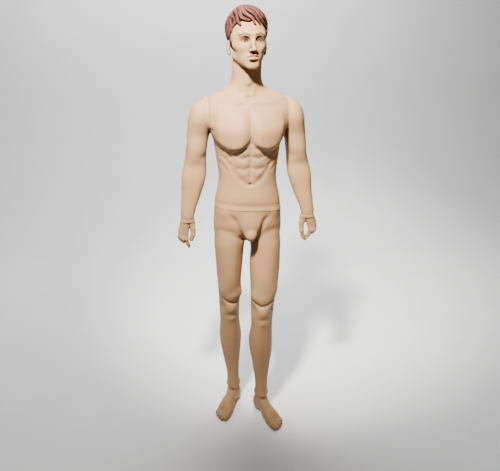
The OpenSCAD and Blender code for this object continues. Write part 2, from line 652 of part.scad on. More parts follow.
groin_top = 1012;
module left_leg_shell() {
    color("tan") difference() {
        union() {
            loft(LEFT_LEG_ALL, 0, groin_top, 30, 1, 0, left_of_groin);
            toes(1, left_ankle, left_toe_out);
        }
        loft(LEFT_LEG_ALL, 60, groin_top - 24, 22, 1, wall, left_of_groin);
        at_groin() translate([0, 0, -12]) cylinder(h = 14, r = 30);
    }
}
module left_leg_block() {
    color("burlywood") at_groin() translate([0, 0, -half_gap - wall - 0.2]) difference() {
        translate([-34, -40, -24]) cube([56, 80, 24]);
        pilot_holes(leg_screw_r, 4, 16);
    }
}
module left_leg_pin() {
    color("silver") at_groin() difference() {
        union() {
            translate([0, 0, -half_gap - wall - 0.1]) cylinder(h = wall + 0.1, r = 29.9);
            translate([0, 0, -2]) cylinder(h = leg_pin_l - 12, r = leg_pin_r);
        }
        translate([0, 0, -half_gap]) screw_holes(leg_screw_r, 4, 6);
    }
}
module left_leg_screws() {
    color("gray") at_groin() translate([0, 0, -half_gap]) screws(leg_screw_r, 4, 19);
}

translate(to_origin) pelvis_leg_shell();
translate(to_origin) pelvis_board();
translate(to_origin) waist_bush();
translate(to_origin) waist_bush_screws();
translate(to_origin) leg_socket_block();
translate(to_origin) leg_socket();
translate(to_origin) leg_socket_screws();
translate(to_origin) foot_socket();
translate(to_origin) waist_post();
translate(to_origin) torso_shell();
translate(to_origin) torso_board();
translate(to_origin) waist_socket();
translate(to_origin) waist_socket_screws();
translate(to_origin) neck_collar();
translate(to_origin) head_shell();
translate(to_origin) moulded_hair();
translate(to_origin) shoulder_block(-1);  // right_shoulder_block
translate(to_origin) shoulder_socket(-1);  // right_shoulder_socket
translate(to_origin) shoulder_screws(-1);  // right_shoulder_screws
translate(to_origin) shoulder_block(1);  // left_shoulder_block
translate(to_origin) shoulder_socket(1);  // left_shoulder_socket
translate(to_origin) shoulder_screws(1);  // left_shoulder_screws
translate(to_origin) arm_shell(-1);  // right_arm_shell
translate(to_origin) arm_block(-1);  // right_arm_block
translate(to_origin) arm_stud(-1);  // right_arm_stud
translate(to_origin) arm_screws(-1);  // right_arm_screws
translate(to_origin) wrist_plug(-1);  // right_wrist_plug
translate(to_origin) wrist_bush(-1);  // right_wrist_bush
translate(to_origin) arm_shell(1);  // left_arm_shell
translate(to_origin) arm_block(1);  // left_arm_block
translate(to_origin) arm_stud(1);  // left_arm_stud
translate(to_origin) arm_screws(1);  // left_arm_screws
translate(to_origin) wrist_plug(1);  // left_wrist_plug
translate(to_origin) wrist_bush(1);  // left_wrist_bush
translate(to_origin) hand(-1);  // right_hand
translate(to_origin) hand_pin(-1);  // right_hand_pin
translate(to_origin) hand(1);  // left_hand
translate(to_origin) hand_pin(1);  // left_hand_pin
translate(to_origin) left_leg_shell();
translate(to_origin) left_leg_block();
translate(to_origin) left_leg_pin();
translate(to_origin) left_leg_screws();
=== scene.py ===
import json
import math

import bmesh
import bpy
import numpy as np
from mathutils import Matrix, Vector


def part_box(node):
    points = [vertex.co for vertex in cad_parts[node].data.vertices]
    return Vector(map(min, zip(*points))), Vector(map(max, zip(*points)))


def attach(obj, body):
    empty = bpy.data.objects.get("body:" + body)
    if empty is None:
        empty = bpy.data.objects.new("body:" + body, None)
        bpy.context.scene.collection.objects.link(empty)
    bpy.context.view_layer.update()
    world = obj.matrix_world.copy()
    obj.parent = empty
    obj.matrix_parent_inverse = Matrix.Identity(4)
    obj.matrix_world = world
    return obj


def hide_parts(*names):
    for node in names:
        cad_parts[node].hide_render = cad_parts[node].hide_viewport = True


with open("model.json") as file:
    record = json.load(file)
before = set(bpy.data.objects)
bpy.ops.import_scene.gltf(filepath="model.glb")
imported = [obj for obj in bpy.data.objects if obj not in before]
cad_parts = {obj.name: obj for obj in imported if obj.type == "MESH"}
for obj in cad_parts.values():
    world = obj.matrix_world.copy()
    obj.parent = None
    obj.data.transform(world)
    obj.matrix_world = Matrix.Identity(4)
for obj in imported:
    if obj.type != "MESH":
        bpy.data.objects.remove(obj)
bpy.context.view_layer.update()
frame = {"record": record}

# ---- Figure drawing ------------------------------------------------------------
# Bodies are drawn in millimetres: the figure stands on z = 0, faces -y, and its
# left side is +x. Each body is a field: below zero inside, about distance outside.

heel_low, heel_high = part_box("foot_socket")
RIGHT_ANKLE = np.array([-64.0, 56.0])
LEFT_ANKLE = np.array([61.0, -40.0])
FIGURE_AT = np.array([
    (heel_low[0] + heel_high[0]) * 500 - RIGHT_ANKLE[0],
    (heel_low[1] + heel_high[1]) * 500 - (RIGHT_ANKLE[1] - 4),
    heel_low[2] * 1000,
])
SEAM_Z = 1035.0
SEAM_TILT = math.radians(3.5)
SHOULDER_X = 160.0
WRIST = np.array([264.0, -28.0, 1004.0])
GROIN = np.array([25.0, 0.0, 900.0])
GROIN_SEAM = GROIN[0] - GROIN[2]   # x - z all over the seam, which slopes at 45 degrees
HIP_PIN = np.array([82.0, 4.0, 957.0])
SHOULDER_STUD = (12, 1428)         # y and z
SHOULDER_FLANGE, HIP_FLANGE = 28.2, 30.2
NECK_Z = 1556.0
FOREARM = (0.120369, 0.156434, 0.980326)
HALF_SEAM = 0.45

# Trunk rows: height, middle y, half width, front, back, squareness
TRUNK = [
    (893, 8, 60, 40, 50, 2.0), (903, 6, 112, 66, 84, 2.1), (918, 4, 142, 84, 108, 2.2),
    (940, 2, 149, 92, 118, 2.3), (965, 0, 149, 97, 120, 2.4), (1000, 0, 147, 100, 114, 2.45),
    (1035, 0, 145, 102, 104, 2.5), (1065, 0, 142, 100, 94, 2.5), (1100, 0, 135, 98, 82, 2.45),
    (1140, 0, 127, 97, 76, 2.4), (1180, 0, 124, 98, 77, 2.4), (1215, 0, 127, 100, 83, 2.4),
    (1250, 0, 132, 104, 93, 2.35), (1285, 0, 137, 108, 103, 2.3), (1320, 0, 142, 111, 110, 2.3),
    (1350, 0, 150, 113, 114, 2.3), (1370, 0, 160, 114, 116, 2.25), (1390, 4, 176, 117, 113, 2.15),
    (1420, 8, 188, 115, 106, 2.05), (1450, 10, 193, 105, 98, 2.1), (1478, 12, 187, 90, 89, 2.1),
    (1497, 13, 166, 77, 78, 2.0), (1512, 13, 138, 68, 69, 2.0), (1524, 12, 110, 62, 64, 2.0),
    (1537, 10, 84, 59, 61, 2.0), (1556, 8, 65, 57, 59, 2.0), (1580, 6, 59, 56, 56, 2.0),
    (1610, 3, 57, 56, 56, 2.0), (1650, 0, 55, 52, 60, 2.0),
]
# Limb rows: height, middle x and y, outer and inner half width, front, back
ARM = [
    (980, 268, -32, 28, 28, 21, 21), (1004, 264, -28, 29, 29, 22, 22),
    (1036, 259, -22, 32, 32, 25, 26), (1072, 250, -14, 38, 38, 30, 33),
    (1108, 242, -5, 43, 43, 36, 39), (1144, 235, 3, 47, 47, 42, 43),
    (1180, 229, 9, 49, 50, 44, 44), (1214, 224, 13, 48, 49, 43, 45),
    (1250, 219, 14, 46, 46, 48, 49), (1285, 214, 14, 46, 45, 52, 52),
    (1320, 209, 14, 47, 45, 53, 55), (1350, 205, 14, 47, 47, 55, 58),
    (1380, 200, 11, 46, 52, 60, 62), (1410, 196, 8, 46, 60, 64, 64),
    (1440, 192, 9, 45, 62, 62, 63), (1465, 189, 12, 37, 60, 54, 54),
    (1480, 182, 13, 27, 50, 40, 40), (1490, 176, 14, 14, 30, 24, 24),
]
RIGHT_LEG = [
    (60, -64, 56, 30, 30, 50, 40), (98, -64, 56, 30, 30, 44, 40), (130, -65, 56, 29, 29, 39, 39),
    (182, -67, 54, 31, 31, 37, 41), (230, -70, 50, 36, 37, 39, 49), (280, -73, 45, 42, 43, 42, 58),
    (330, -76, 39, 47, 48, 45, 64), (380, -78, 33, 49, 49, 48, 65), (430, -80, 26, 47, 47, 50, 59),
    (480, -82, 19, 45, 45, 53, 53), (530, -84, 12, 46, 46, 56, 51), (580, -84, 7, 48, 48, 59, 55),
    (640, -84, 3, 51, 51, 66, 66), (700, -85, 1, 54, 54, 75, 74), (770, -83, 1, 59, 60, 82, 82),
    (830, -82, 2, 63, 64, 86, 90), (870, -80, 3, 66, 68, 88, 98), (900, -77, 3, 66, 69, 86, 100),
    (935, -75, 3, 64, 70, 80, 100), (965, -74, 3, 54, 60, 66, 84), (990, -72, 3, 34, 38, 44, 56),
]
LEFT_LEG = [
    (60, 61, -40, 30, 30, 50, 40), (98, 61, -40, 30, 30, 44, 40), (130, 61, -40, 29, 29, 39, 39),
    (182, 60, -42, 31, 31, 37, 41), (230, 59, -45, 37, 37, 39, 49), (280, 58, -49, 43, 43, 42, 58),
    (330, 57, -53, 49, 49, 45, 64), (380, 56, -57, 51, 51, 48, 65), (430, 56, -60, 50, 50, 50, 59),
    (480, 57, -62, 48, 48, 53, 53), (530, 58, -61, 50, 50, 57, 51), (580, 61, -55, 53, 53, 61, 55),
    (640, 66, -46, 57, 57, 67, 66), (700, 71, -35, 63, 63, 76, 74), (770, 76, -21, 67, 68, 82, 82),
    (830, 80, -10, 66, 66, 86, 90), (870, 80, -3, 68, 68, 88, 97), (900, 77, 1, 69, 66, 86, 100),
    (935, 75, 2, 70, 64, 80, 100), (965, 74, 3, 60, 54, 66, 84), (990, 72, 3, 38, 34, 44, 56),
]


def ease(low, high, x):
    t = np.clip((x - low) / (high - low), 0, 1)
    return t * t * (3 - 2 * t)


def join(a, b, k):
    """Two fields as one body, with a fillet of about k."""
    h = np.clip(0.5 + 0.5 * (b - a) / k, 0, 1)
    return b + (a - b) * h - k * h * (1 - h)


def carve(a, b, k):
    """Field a with body b taken out of it, and a fillet of about k."""
    return -join(-a, b, k)


class Rows:
    """Sections at set heights, with a smooth curve through them."""

    def __init__(self, table):
        t = np.array(table, float)
        self.z, self.v = t[:, 0], t[:, 1:]
        i = np.arange(len(t))
        a, b = np.maximum(i - 1, 0), np.minimum(i + 1, len(t) - 1)
        self.m = (self.v[b] - self.v[a]) / (self.z[b] - self.z[a])[:, None]

    def at(self, z):
        z = np.clip(z, self.z[0], self.z[-1])
        i = np.clip(np.searchsorted(self.z, z, side="right") - 1, 0, len(self.z) - 2)
        h = self.z[i + 1] - self.z[i]
        u = ((z - self.z[i]) / h)[:, None]
        h = h[:, None]
        u2, u3 = u * u, u * u * u
        return (
            self.v[i] * (2 * u3 - 3 * u2 + 1) + self.m[i] * h * (u3 - 2 * u2 + u)
            + self.v[i + 1] * (3 * u2 - 2 * u3) + self.m[i + 1] * h * (u3 - u2)
        )

    def over(self, z):
        return np.maximum(np.maximum(self.z[0] - z, z - self.z[-1]), 0)


def section(dx, dy, rx, ry, e, over):
    """Distance from a rounded section, measured out from its middle."""
    far = np.sqrt(dx * dx + dy * dy) + 1e-6
    g = ((np.abs(dx) / rx) ** e + (np.abs(dy) / ry) ** e) ** (1 / e) + 1e-9
    d = far - far / g
    beyond = np.minimum(d, 0) + np.hypot(np.maximum(d, 0), over) + np.where(d < 0, over, 0)
    return np.where(over > 0, beyond, d)


TRUNK_ROWS, ARM_ROWS = Rows(TRUNK), Rows(ARM)
RIGHT_ROWS, LEFT_ROWS = Rows(RIGHT_LEG), Rows(LEFT_LEG)


def stroke(a, b, line, width):
    """How close points (a, b) lie to a drawn line, from 1 on it to 0."""
    best = np.full(a.shape, 1e9)
    for (x0, y0), (x1, y1) in zip(line[:-1], line[1:]):
        ux, uy = x1 - x0, y1 - y0
        t = np.clip(((a - x0) * ux + (b - y0) * uy) / (ux * ux + uy * uy), 0, 1)
        best = np.minimum(best, (a - x0 - t * ux) ** 2 + (b - y0 - t * uy) ** 2)
    return np.exp(-best / (width * width))


def spot(a, b, a0, b0, ra, rb):
    return np.exp(-(((a - a0) / ra) ** 2) - ((b - b0) / rb) ** 2)


def ellipsoid(p, at, radii):
    q = (p - np.array(at, float)) / np.array(radii, float)
    k = np.sqrt((q * q).sum(1)) + 1e-9
    g = q / np.array(radii, float)
    return k * (k - 1) / (np.sqrt((g * g).sum(1)) + 1e-9)


def limb(p, a, b, ra, rb):
    """A tapered bar with round ends."""
    a, b = np.array(a, float), np.array(b, float)
    u = b - a
    t = np.clip((p - a) @ u / max(u @ u, 1e-9), 0, 1)
    return np.sqrt(((p - a - t[:, None] * u) ** 2).sum(1)) - (ra + (rb - ra) * t)


# Lower edge of the chest muscle: distance from the midline, height
CHEST_EDGE = ([0, 8, 25, 45, 70, 95, 120, 145, 165],
              [1350, 1330, 1313, 1301, 1295, 1299, 1313, 1338, 1372])
# Front relief of the trunk: line of (distance from midline, height), width, lift
FRONT_LINES = [
    ([(0, 1450), (0, 1330)], 12, -2.2),                        # breastbone
    ([(0, 1322), (0, 1160)], 8, -3.6),                        # midline of the belly
    ([(92, 1262), (74, 1216), (44, 1172), (12, 1150)], 12, -4.0),  # edge of the belly muscle
    ([(26, 1302), (52, 1282), (80, 1268)], 8, -2.5),          # rib arch
    ([(8, 1268), (34, 1260), (60, 1270)], 7, -2.3),           # upper band
    ([(8, 1222), (30, 1212), (54, 1222)], 7, -2.2),           # lower band
    ([(96, 1290), (74, 1256)], 6, -2.6),                      # ribs
    ([(112, 1268), (84, 1232)], 6, -2.4),
    ([(120, 1240), (92, 1206)], 7, -1.8),
    ([(20, 1488), (60, 1484), (110, 1492), (150, 1500)], 8, 3.6),  # collar bone
    ([(26, 1470), (70, 1462), (116, 1468)], 12, -2.8),        # hollow under it
    ([(138, 1462), (150, 1420), (150, 1375)], 11, -3.0),      # between chest and shoulder
    ([(150, 1372), (140, 1345)], 10, -3.0),
]
BACK_LINES = [
    ([(0, 1490), (0, 1080)], 17, -6.5),                       # spine
    ([(32, 1060), (30, 1250)], 20, 5.0),                      # long back muscles
    ([(46, 1440), (58, 1350)], 12, -4.0),                     # inner edge of the shoulder blade
    ([(60, 1345), (105, 1330)], 14, -3.5),
    ([(0, 975), (0, 905)], 9, -15.0),                         # between the buttocks
    ([(24, 1020), (8, 985)], 13, -3.0),
]


def trunk(p):
    x, y, z = p[:, 0], p[:, 1], p[:, 2]
    r = TRUNK_ROWS.at(z)
    dy = y - r[:, 0]
    f = section(x, dy, r[:, 1], np.where(dy > 0, r[:, 3], r[:, 2]), r[:, 4], TRUNK_ROWS.over(z))
    ax = np.abs(x)
    front = ease(10, -45, dy)
    back = ease(-10, 45, dy)
    lift = np.zeros(len(p))
    near = np.abs(f) < 60
    n = near & (dy < 10)
    a, b, m = ax[n], z[n], front[n]
    s = np.zeros(len(a))
    edge = np.interp(a, *CHEST_EDGE)
    chest = 1 / (1 + np.exp(-(b - edge) / 4.5))
    chest = chest * (1 - ease(1352, 1480, b)) * ease(-14, 44, a) * (1 - ease(128, 176, a))
    s += 23 * chest
    for line, width, rise in FRONT_LINES:
        s += rise * stroke(a, b, line, width)
    s += 3.6 * spot(a, b, 30, 1240, 20, 14) + 3.4 * spot(a, b, 32, 1196, 20, 15)
    s += 3.8 * spot(a, b, 30, 1286, 20, 12)
    s += 5.0 * spot(a, b, 0, 1088, 80, 34)
    above = b - SEAM_Z + x[n] * math.tan(SEAM_TILT)
    hem = 1.5 * np.exp(-((above / 10) ** 2)) - 1.8 * np.exp(-(((above - 22) / 9) ** 2))
    s += np.where(above > 0, hem, 0)
    s -= 9.0 * spot(a, b, 0, 1150, 7, 5)
    s -= 7.0 * spot(a, b, 0, 1502, 15, 11)
    # hip bones
    s += 4.0 * spot(a, b, 112, 1020, 18, 24)
    lift[n] += s * m
    n = near & (dy > -10)
    a, b, m = ax[n], z[n], back[n]
    s = np.zeros(len(a))
    for line, width, rise in BACK_LINES:
        s += rise * stroke(a, b, line, width)
    s += 8 * spot(a, b, 84, 1402, 36, 44) + 5 * spot(a, b, 40, 1490, 50, 26)
    s += 5 * spot(a, b, 110, 1290, 26, 60)
    s += 22 * spot(a, b, 66, 933, 50, 50) - 3.0 * spot(a, b, 34, 1040, 9, 10)
    lift[n] += s * m
    f = f - lift
    # front of the pelvis
    f = join(f, ellipsoid(p, (2, -86, 965), (42, 20, 50)), 26)
    f = join(f, ellipsoid(p, (3, -93, 925), (27, 25, 27)), 13)
    return f


# Relief of the limbs: direction (0 front, 90 out, 180 back, -90 in), height,
# reach in degrees, reach in height, lift
LEG_RELIEF = [
    (0, 700, 55, 90, 4), (-50, 632, 26, 28, 10), (42, 655, 26, 36, 7), (-8, 624, 20, 18, 4),
    (-5, 557, 22, 25, 9), (-5, 504, 15, 18, 5), (0, 522, 26, 13, -3), (-52, 566, 17, 24, -6),
    (44, 566, 17, 24, -6), (-118, 385, 34, 62, 7), (128, 400, 32, 52, 5), (180, 380, 16, 60, -3),
    (-14, 330, 16, 110, 3), (-52, 330, 18, 90, -3), (180, 560, 30, 34, -6), (150, 600, 14, 60, 4),
    (-150, 600, 14, 60, 4), (150, 740, 30, 90, 4), (-150, 740, 30, 90, 4), (180, 720, 12, 110, -3),
    (90, 100, 24, 14, 5), (-90, 106, 24, 15, 6), (140, 140, 20, 60, -5), (-140, 140, 20, 60, -5),
    (180, 150, 22, 60, 4), (-25, 760, 16, 100, -4), (30, 730, 14, 80, -3),
]
KNEE_FOLD = [(-80, 624), (-45, 604), (-20, 588), (10, 593), (45, 618), (75, 640)]
ARM_RELIEF = [
    (10, 1290, 46, 44, 5), (180, 1300, 44, 52, 5), (95, 1320, 22, 22, -3), (95, 1400, 60, 46, 4),
    (-40, 1258, 26, 16, -3), (0, 1222, 34, 18, -2.5), (60, 1168, 40, 40, 5), (-60, 1160, 36, 44, 4),
    (0, 1120, 20, 50, -2), (180, 1206, 22, 14, 3), (90, 1014, 24, 12, 2), (70, 1270, 18, 34, -3),
    (-80, 1290, 18, 44, -3),
]


def limb_body(p, rows, side, relief, leg=False):
    """A leg or an arm; side is -1 on the right and 1 on the left. The arms share one
    table, drawn for the left; each leg has its own."""
    z = p[:, 2]
    r = rows.at(z)
    dx, dy = p[:, 0] * (1 if leg else side) - r[:, 0], p[:, 1] - r[:, 1]
    rx = np.where(dx > 0, r[:, 2], r[:, 3])
    ry = np.where(dy > 0, r[:, 5], r[:, 4])
    f = section(dx, dy, rx, ry, 2.12, rows.over(z))
    near = np.abs(f) < 30
    out = dx[near] * (side if leg else 1)
    turn = np.degrees(np.arctan2(out, -dy[near]))
    zz = z[near]
    s = np.zeros(len(zz))
    for at, height, wide, tall, rise in relief:
        away = (turn - at + 180) % 360 - 180
        s += rise * np.exp(-((away / wide) ** 2) - ((zz - height) / tall) ** 2)
    if leg:
        s -= 9 * stroke(turn, zz, KNEE_FOLD, 8) * np.exp(-(((turn + 12) / 55) ** 2))
    f[near] -= s
    return f


TOES = [
    [(22, -118, 20, 17), (23, -152, 15, 13.5), (21, -173, 11.5, 11)],
    [(5, -126, 18, 12), (6, -158, 14, 9.5), (5, -177, 9, 8)],
    [(-8, -122, 16, 11), (-9, -151, 12, 8.8), (-10, -168, 8, 7.4)],
    [(-20, -112, 15, 11), (-22, -139, 11, 8.6), (-24, -155, 8, 7.2)],
    [(-30, -98, 14, 10), (-34, -123, 10, 8.6), (-36, -136, 8, 7)],
]


def foot(p, ankle, side, toe_out):
    """Foot on the floor, its toes towards -y before it is turned out."""
    c, s = math.cos(math.radians(-toe_out * side)), math.sin(math.radians(-toe_out * side))
    q = p - np.array([ankle[0], ankle[1], 0.0])
    q = np.stack([(q[:, 0] * c - q[:, 1] * s) * -side, q[:, 0] * s + q[:, 1] * c, q[:, 2]], 1)
    f = ellipsoid(q, (-1, 22, 26), (29, 31, 34))
    f = join(f, limb(q, (0, 16, 50), (1, 5, 86), 29, 26), 16)
    f = join(f, limb(q, (-5, 0, 32), (-8, -92, 22), 30, 24), 22)
    f = join(f, limb(q, (2, -8, 66), (10, -92, 33), 26, 17), 20)
    f = join(f, limb(q, (12, -70, 26), (18, -122, 20), 20, 18.5), 12)
    f = join(f, limb(q, (-20, -40, 20), (-26, -104, 17), 18, 14), 14)
    f = join(f, limb(q, (-4, -112, 19), (-10, -114, 18), 16, 15), 12)
    f = carve(f, ellipsoid(q, (34, -44, -4), (22, 48, 17)), 12)
    f = join(f, limb(q, (0, 34, 40), (0, 27, 112), 13, 9), 14)
    for root, middle, tip in TOES:
        toe = join(limb(q, root[:3], middle[:3], root[3], middle[3]),
                   limb(q, middle[:3], tip[:3], middle[3], tip[3]), 3)
        toe = carve(toe, ellipsoid(q, (tip[0], tip[1] - 2, tip[2] + tip[3] + 2.2),
                                   (tip[3] * 0.62, tip[3] * 0.72, 3.2)), 1.2)
        f = join(f, toe, 3.2)
    return np.maximum(f, 0.6 - q[:, 2])


def lower_figure(p):
    f = trunk(p)
    legs = []
    for rows, ankle, side, toe_out in ((RIGHT_ROWS, RIGHT_ANKLE, -1, 27),
                                       (LEFT_ROWS, LEFT_ANKLE, 1, 19)):
        g = limb_body(p, rows, side, LEG_RELIEF, leg=True)
        low = p[:, 2] < 150
        if low.any():
            # the leg fades out as the foot takes over
            shin = g[low] + np.maximum(96 - p[low, 2], 0) * 0.7
            g[low] = join(shin, foot(p[low], ankle, side, toe_out), 6)
        legs.append(g)
    f = join(f, join(legs[0], legs[1], 20), 9)
    # groin folds: from the hip bone down to the crotch
    x, y, z = p[:, 0], p[:, 1], p[:, 2]
    n = (np.abs(f) < 30) & (y < -20) & (z > 840) & (z < 1040)
    ax = np.abs(x[n])
    fold = stroke(ax, z[n], [(84, 1032), (62, 985), (43, 940), (31, 902)], 12)
    f[n] += 8 * fold * ease(-20, -60, y[n]) * ease(1030, 990, z[n])
    n = (np.abs(f) < 30) & (y > 30) & (z > 820) & (z < 930)
    fold = stroke(np.abs(x[n]), z[n], [(14, 888), (60, 868), (104, 880)], 8)
    f[n] += 6 * fold * ease(30, 60, y[n])
    return f


def upper_figure(p):
    f = trunk(p)
    for side in (-1, 1):
        n = p[:, 0] * side > 100
        if n.any():
            q = p[n]
            f[n] = join(f[n], limb_body(q, ARM_ROWS, side, ARM_RELIEF), 12)
    return f


# ---- Head ----------------------------------------------------------------------

HEAD_TURN = math.radians(6)
HEAD_TILT = math.radians(-4)
HEAD_AT = np.array([0.0, -12.0, 1640.0])


def in_head(p):
    """Points in the head's own directions: it faces -y, its neck's top is (0, 0, 1640)."""
    q = p - HEAD_AT
    c, s = math.cos(-HEAD_TURN), math.sin(-HEAD_TURN)
    q = np.stack([q[:, 0] * c - q[:, 1] * s, q[:, 0] * s + q[:, 1] * c, q[:, 2]], 1)
    c, s = math.cos(-HEAD_TILT), math.sin(-HEAD_TILT)
    q = np.stack([q[:, 0], q[:, 1] * c - q[:, 2] * s, q[:, 1] * s + q[:, 2] * c], 1)
    q[:, 2] += 1640
    return q


def skull(q):
    f = ellipsoid(q, (0, 12, 1752), (74, 92, 84))
    f = join(f, ellipsoid(q, (0, -34, 1724), (64, 62, 62)), 26)
    f = join(f, ellipsoid(q, (0, -42, 1676), (55, 52, 56)), 24)
    return f


UPPER_LID = [(17, -84.5, 1713), (24, -89, 1721), (33, -89, 1722.5), (43, -80, 1716)]
LOWER_LID = [(17, -84.5, 1711.5), (26, -86.5, 1706.5), (36, -84, 1706.5), (43, -79.5, 1711)]


def ridge(f, p, line, radius, fillet):
    """Field f with a thin round ridge along a line, such as an eyelid."""
    for a, b in zip(line[:-1], line[1:]):
        f = join(f, limb(p, a, b, radius, radius), fillet)
    return f


def face(q):
    x, y, z = np.abs(q[:, 0]), q[:, 1], q[:, 2]
    a = np.stack([x, y, z], 1)
    f = skull(q)
    f = join(f, limb(a, (46, -8, 1664), (13, -76, 1624), 20, 14), 16)      # jaw
    f = join(f, ellipsoid(a, (0, -80, 1622), (20, 16, 15)), 10)             # chin
    f = join(f, ellipsoid(a, (0, -66, 1650), (34, 34, 26)), 14)             # mouth mound
    f = join(f, limb(a, (36, -74, 1690), (58, -40, 1700), 12, 10), 16)      # cheek bone
    f = join(f, limb(a, (8, -90, 1738), (44, -74, 1737), 8, 8), 9)          # brow
    f = carve(f, ellipsoid(a, (31, -95, 1718), (19, 17, 12)), 6)            # eye hollow
    f = join(f, limb(a, (0, -90, 1726), (0, -109, 1684), 5.5, 7.0), 7)      # nose
    f = join(f, ellipsoid(a, (0, -110, 1681), (8.5, 8.5, 7.5)), 5)
    f = join(f, ellipsoid(a, (11, -100, 1678), (6.5, 9.5, 6.5)), 4)
    f = carve(f, ellipsoid(a, (5.5, -104, 1671.5), (3.6, 5.0, 3.4)), 1.5)
    f = join(f, ellipsoid(a, (31, -74.5, 1714.5), (14, 14, 12)), 2.5)       # eyeball
    f = ridge(f, a, UPPER_LID, 1.7, 2.5)
    f = ridge(f, a, LOWER_LID, 1.3, 3)
    # lips, parted by a fine line
    f = join(f, limb(a, (0, -98.5, 1658.5), (8, -98.5, 1660), 4.2, 4.2), 3.5)
    f = join(f, limb(a, (8, -98.5, 1660), (23, -88, 1653.5), 4.2, 2.0), 3.5)
    f = join(f, limb(a, (0, -98, 1648), (12, -95.5, 1648.5), 5.6, 4.6), 3.5)
    f = join(f, limb(a, (12, -95.5, 1648.5), (22, -88.5, 1652.5), 4.6, 2.0), 3.5)
    f = carve(f, limb(a, (0, -105, 1653.6), (10, -103, 1653.8), 2.3, 2.1), 1.8)
    f = carve(f, limb(a, (10, -103, 1653.8), (23.5, -91.5, 1652.4), 2.1, 1.6), 1.8)
    f = carve(f, ellipsoid(a, (0, -96, 1667), (3.5, 7, 6)), 3.5)
    f = carve(f, ellipsoid(a, (0, -95, 1637), (15, 7, 4.5)), 5)
    # ears
    ear = ellipsoid(a, (75, 10, 1695), (7, 16, 28))
    ear = join(ear, ellipsoid(a, (73, 3, 1673), (6, 9, 10)), 6)
    ear = carve(ear, ellipsoid(a, (83, 7, 1697), (7, 9, 17)), 3)
    ear = join(ear, limb(a, (78, -3, 1694), (78, -4, 1686), 3.4, 3), 3)
    f = join(f, ear, 5)
    return f


def neck(p):
    x, y, z = p[:, 0], p[:, 1], p[:, 2]
    f = limb(p, (0, 12, 1520), (0, 6, 1660), 53, 50)
    # the long muscles from behind the ears to the notch, and the throat
    a = np.stack([np.abs(x), y, z], 1)
    f = join(f, limb(a, (50, 4, 1640), (10, -47, 1510), 11, 9), 7)
    f = join(f, limb(a, (0, -42, 1606), (0, -46, 1562), 13, 11), 12)
    f = join(f, limb(a, (16, 42, 1640), (52, 40, 1530), 22, 26), 18)
    return f


def head_and_neck(p):
    f = join(trunk(p), neck(p), 14)
    q = in_head(p)
    n = p[:, 2] > 1575
    if n.any():
        f[n] = join(f[n], face(q[n]), 12)
    return f


def whole_upper(p):
    f = upper_figure(p)
    n = p[:, 2] > 1480
    if n.any():
        f[n] = join(f[n], neck(p[n]), 14)
    n = p[:, 2] > 1575
    if n.any():
        f[n] = join(f[n], face(in_head(p[n])), 12)
    return f


# ---- From field to mesh --------------------------------------------------------


def in_lots(field, p, lot=150000):
    """The field at many points, a lot at a time, to keep memory small."""
    if not len(p):
        return np.zeros(0)
    return np.concatenate([field(p[i:i + lot]) for i in range(0, len(p), lot)])


def cast(field, low, high, step):
    """Mesh of the zero surface: one point in each cell it crosses, four-sided faces."""
    low, high = np.array(low, float), np.array(high, float)
    coarse = 4
    n = (np.ceil((high - low) / (step * coarse)).astype(int) + 1)
    ax = [low[i] + np.arange(n[i]) * step * coarse for i in range(3)]
    grid = np.stack(np.meshgrid(*ax, indexing="ij"), -1).reshape(-1, 3)
    rough = in_lots(field, grid).reshape(n)
    near = np.abs(rough) < step * coarse * 2.6
    size = (n - 1) * coarse + 1
    pick = [np.minimum((np.arange(s) + coarse // 2) // coarse, n[i] - 1) for i, s in enumerate(size)]
    vals = rough[np.ix_(*pick)]
    mask = near[np.ix_(*pick)]
    idx = np.argwhere(mask)
    vals[mask] = in_lots(field, low + idx * step)
    inside = vals < 0
    cells = size - 1
    total = int(np.prod(cells))
    sums = np.zeros((total, 3))
    count = np.zeros(total)
    edges = []
    for axis in range(3):
        a = [slice(None)] * 3
        b = [slice(None)] * 3
        a[axis], b[axis] = slice(0, -1), slice(1, None)
        hit = np.argwhere(inside[tuple(a)] != inside[tuple(b)])
        nxt = hit.copy()
        nxt[:, axis] += 1
        va, vb = vals[tuple(hit.T)], vals[tuple(nxt.T)]
        point = hit.astype(float)
        point[:, axis] += va / (va - vb)
        o1, o2 = (axis + 1) % 3, (axis + 2) % 3
        ring = []
        ok = np.ones(len(hit), bool)
        for d1, d2 in ((0, 0), (-1, 0), (-1, -1), (0, -1)):
            c = hit.copy()
            c[:, o1] += d1
            c[:, o2] += d2
            ok &= (c >= 0).all(1) & (c < cells).all(1)
            ring.append(c)
        for c in ring:
            good = (c >= 0).all(1) & (c < cells).all(1)
            flat = np.ravel_multi_index(c[good].T, cells)
            for k in range(3):
                sums[:, k] += np.bincount(flat, point[good, k], total)
            count += np.bincount(flat, minlength=total)
        quad = np.stack([np.ravel_multi_index(c[ok].T, cells) for c in ring], 1)
        quad[va[ok] > 0] = quad[va[ok] > 0][:, ::-1]
        edges.append(quad)
    used = count > 0
    order = np.cumsum(used) - 1
    verts = low + sums[used] / count[used][:, None] * step
    faces = order[np.concatenate(edges)]
    return verts, faces


def slope(field, p, h=0.4):
    g = np.empty_like(p)
    for k in range(3):
        d = np.zeros(3)
        d[k] = h
        g[:, k] = (in_lots(field, p + d) - in_lots(field, p - d)) / (2 * h)
    return g


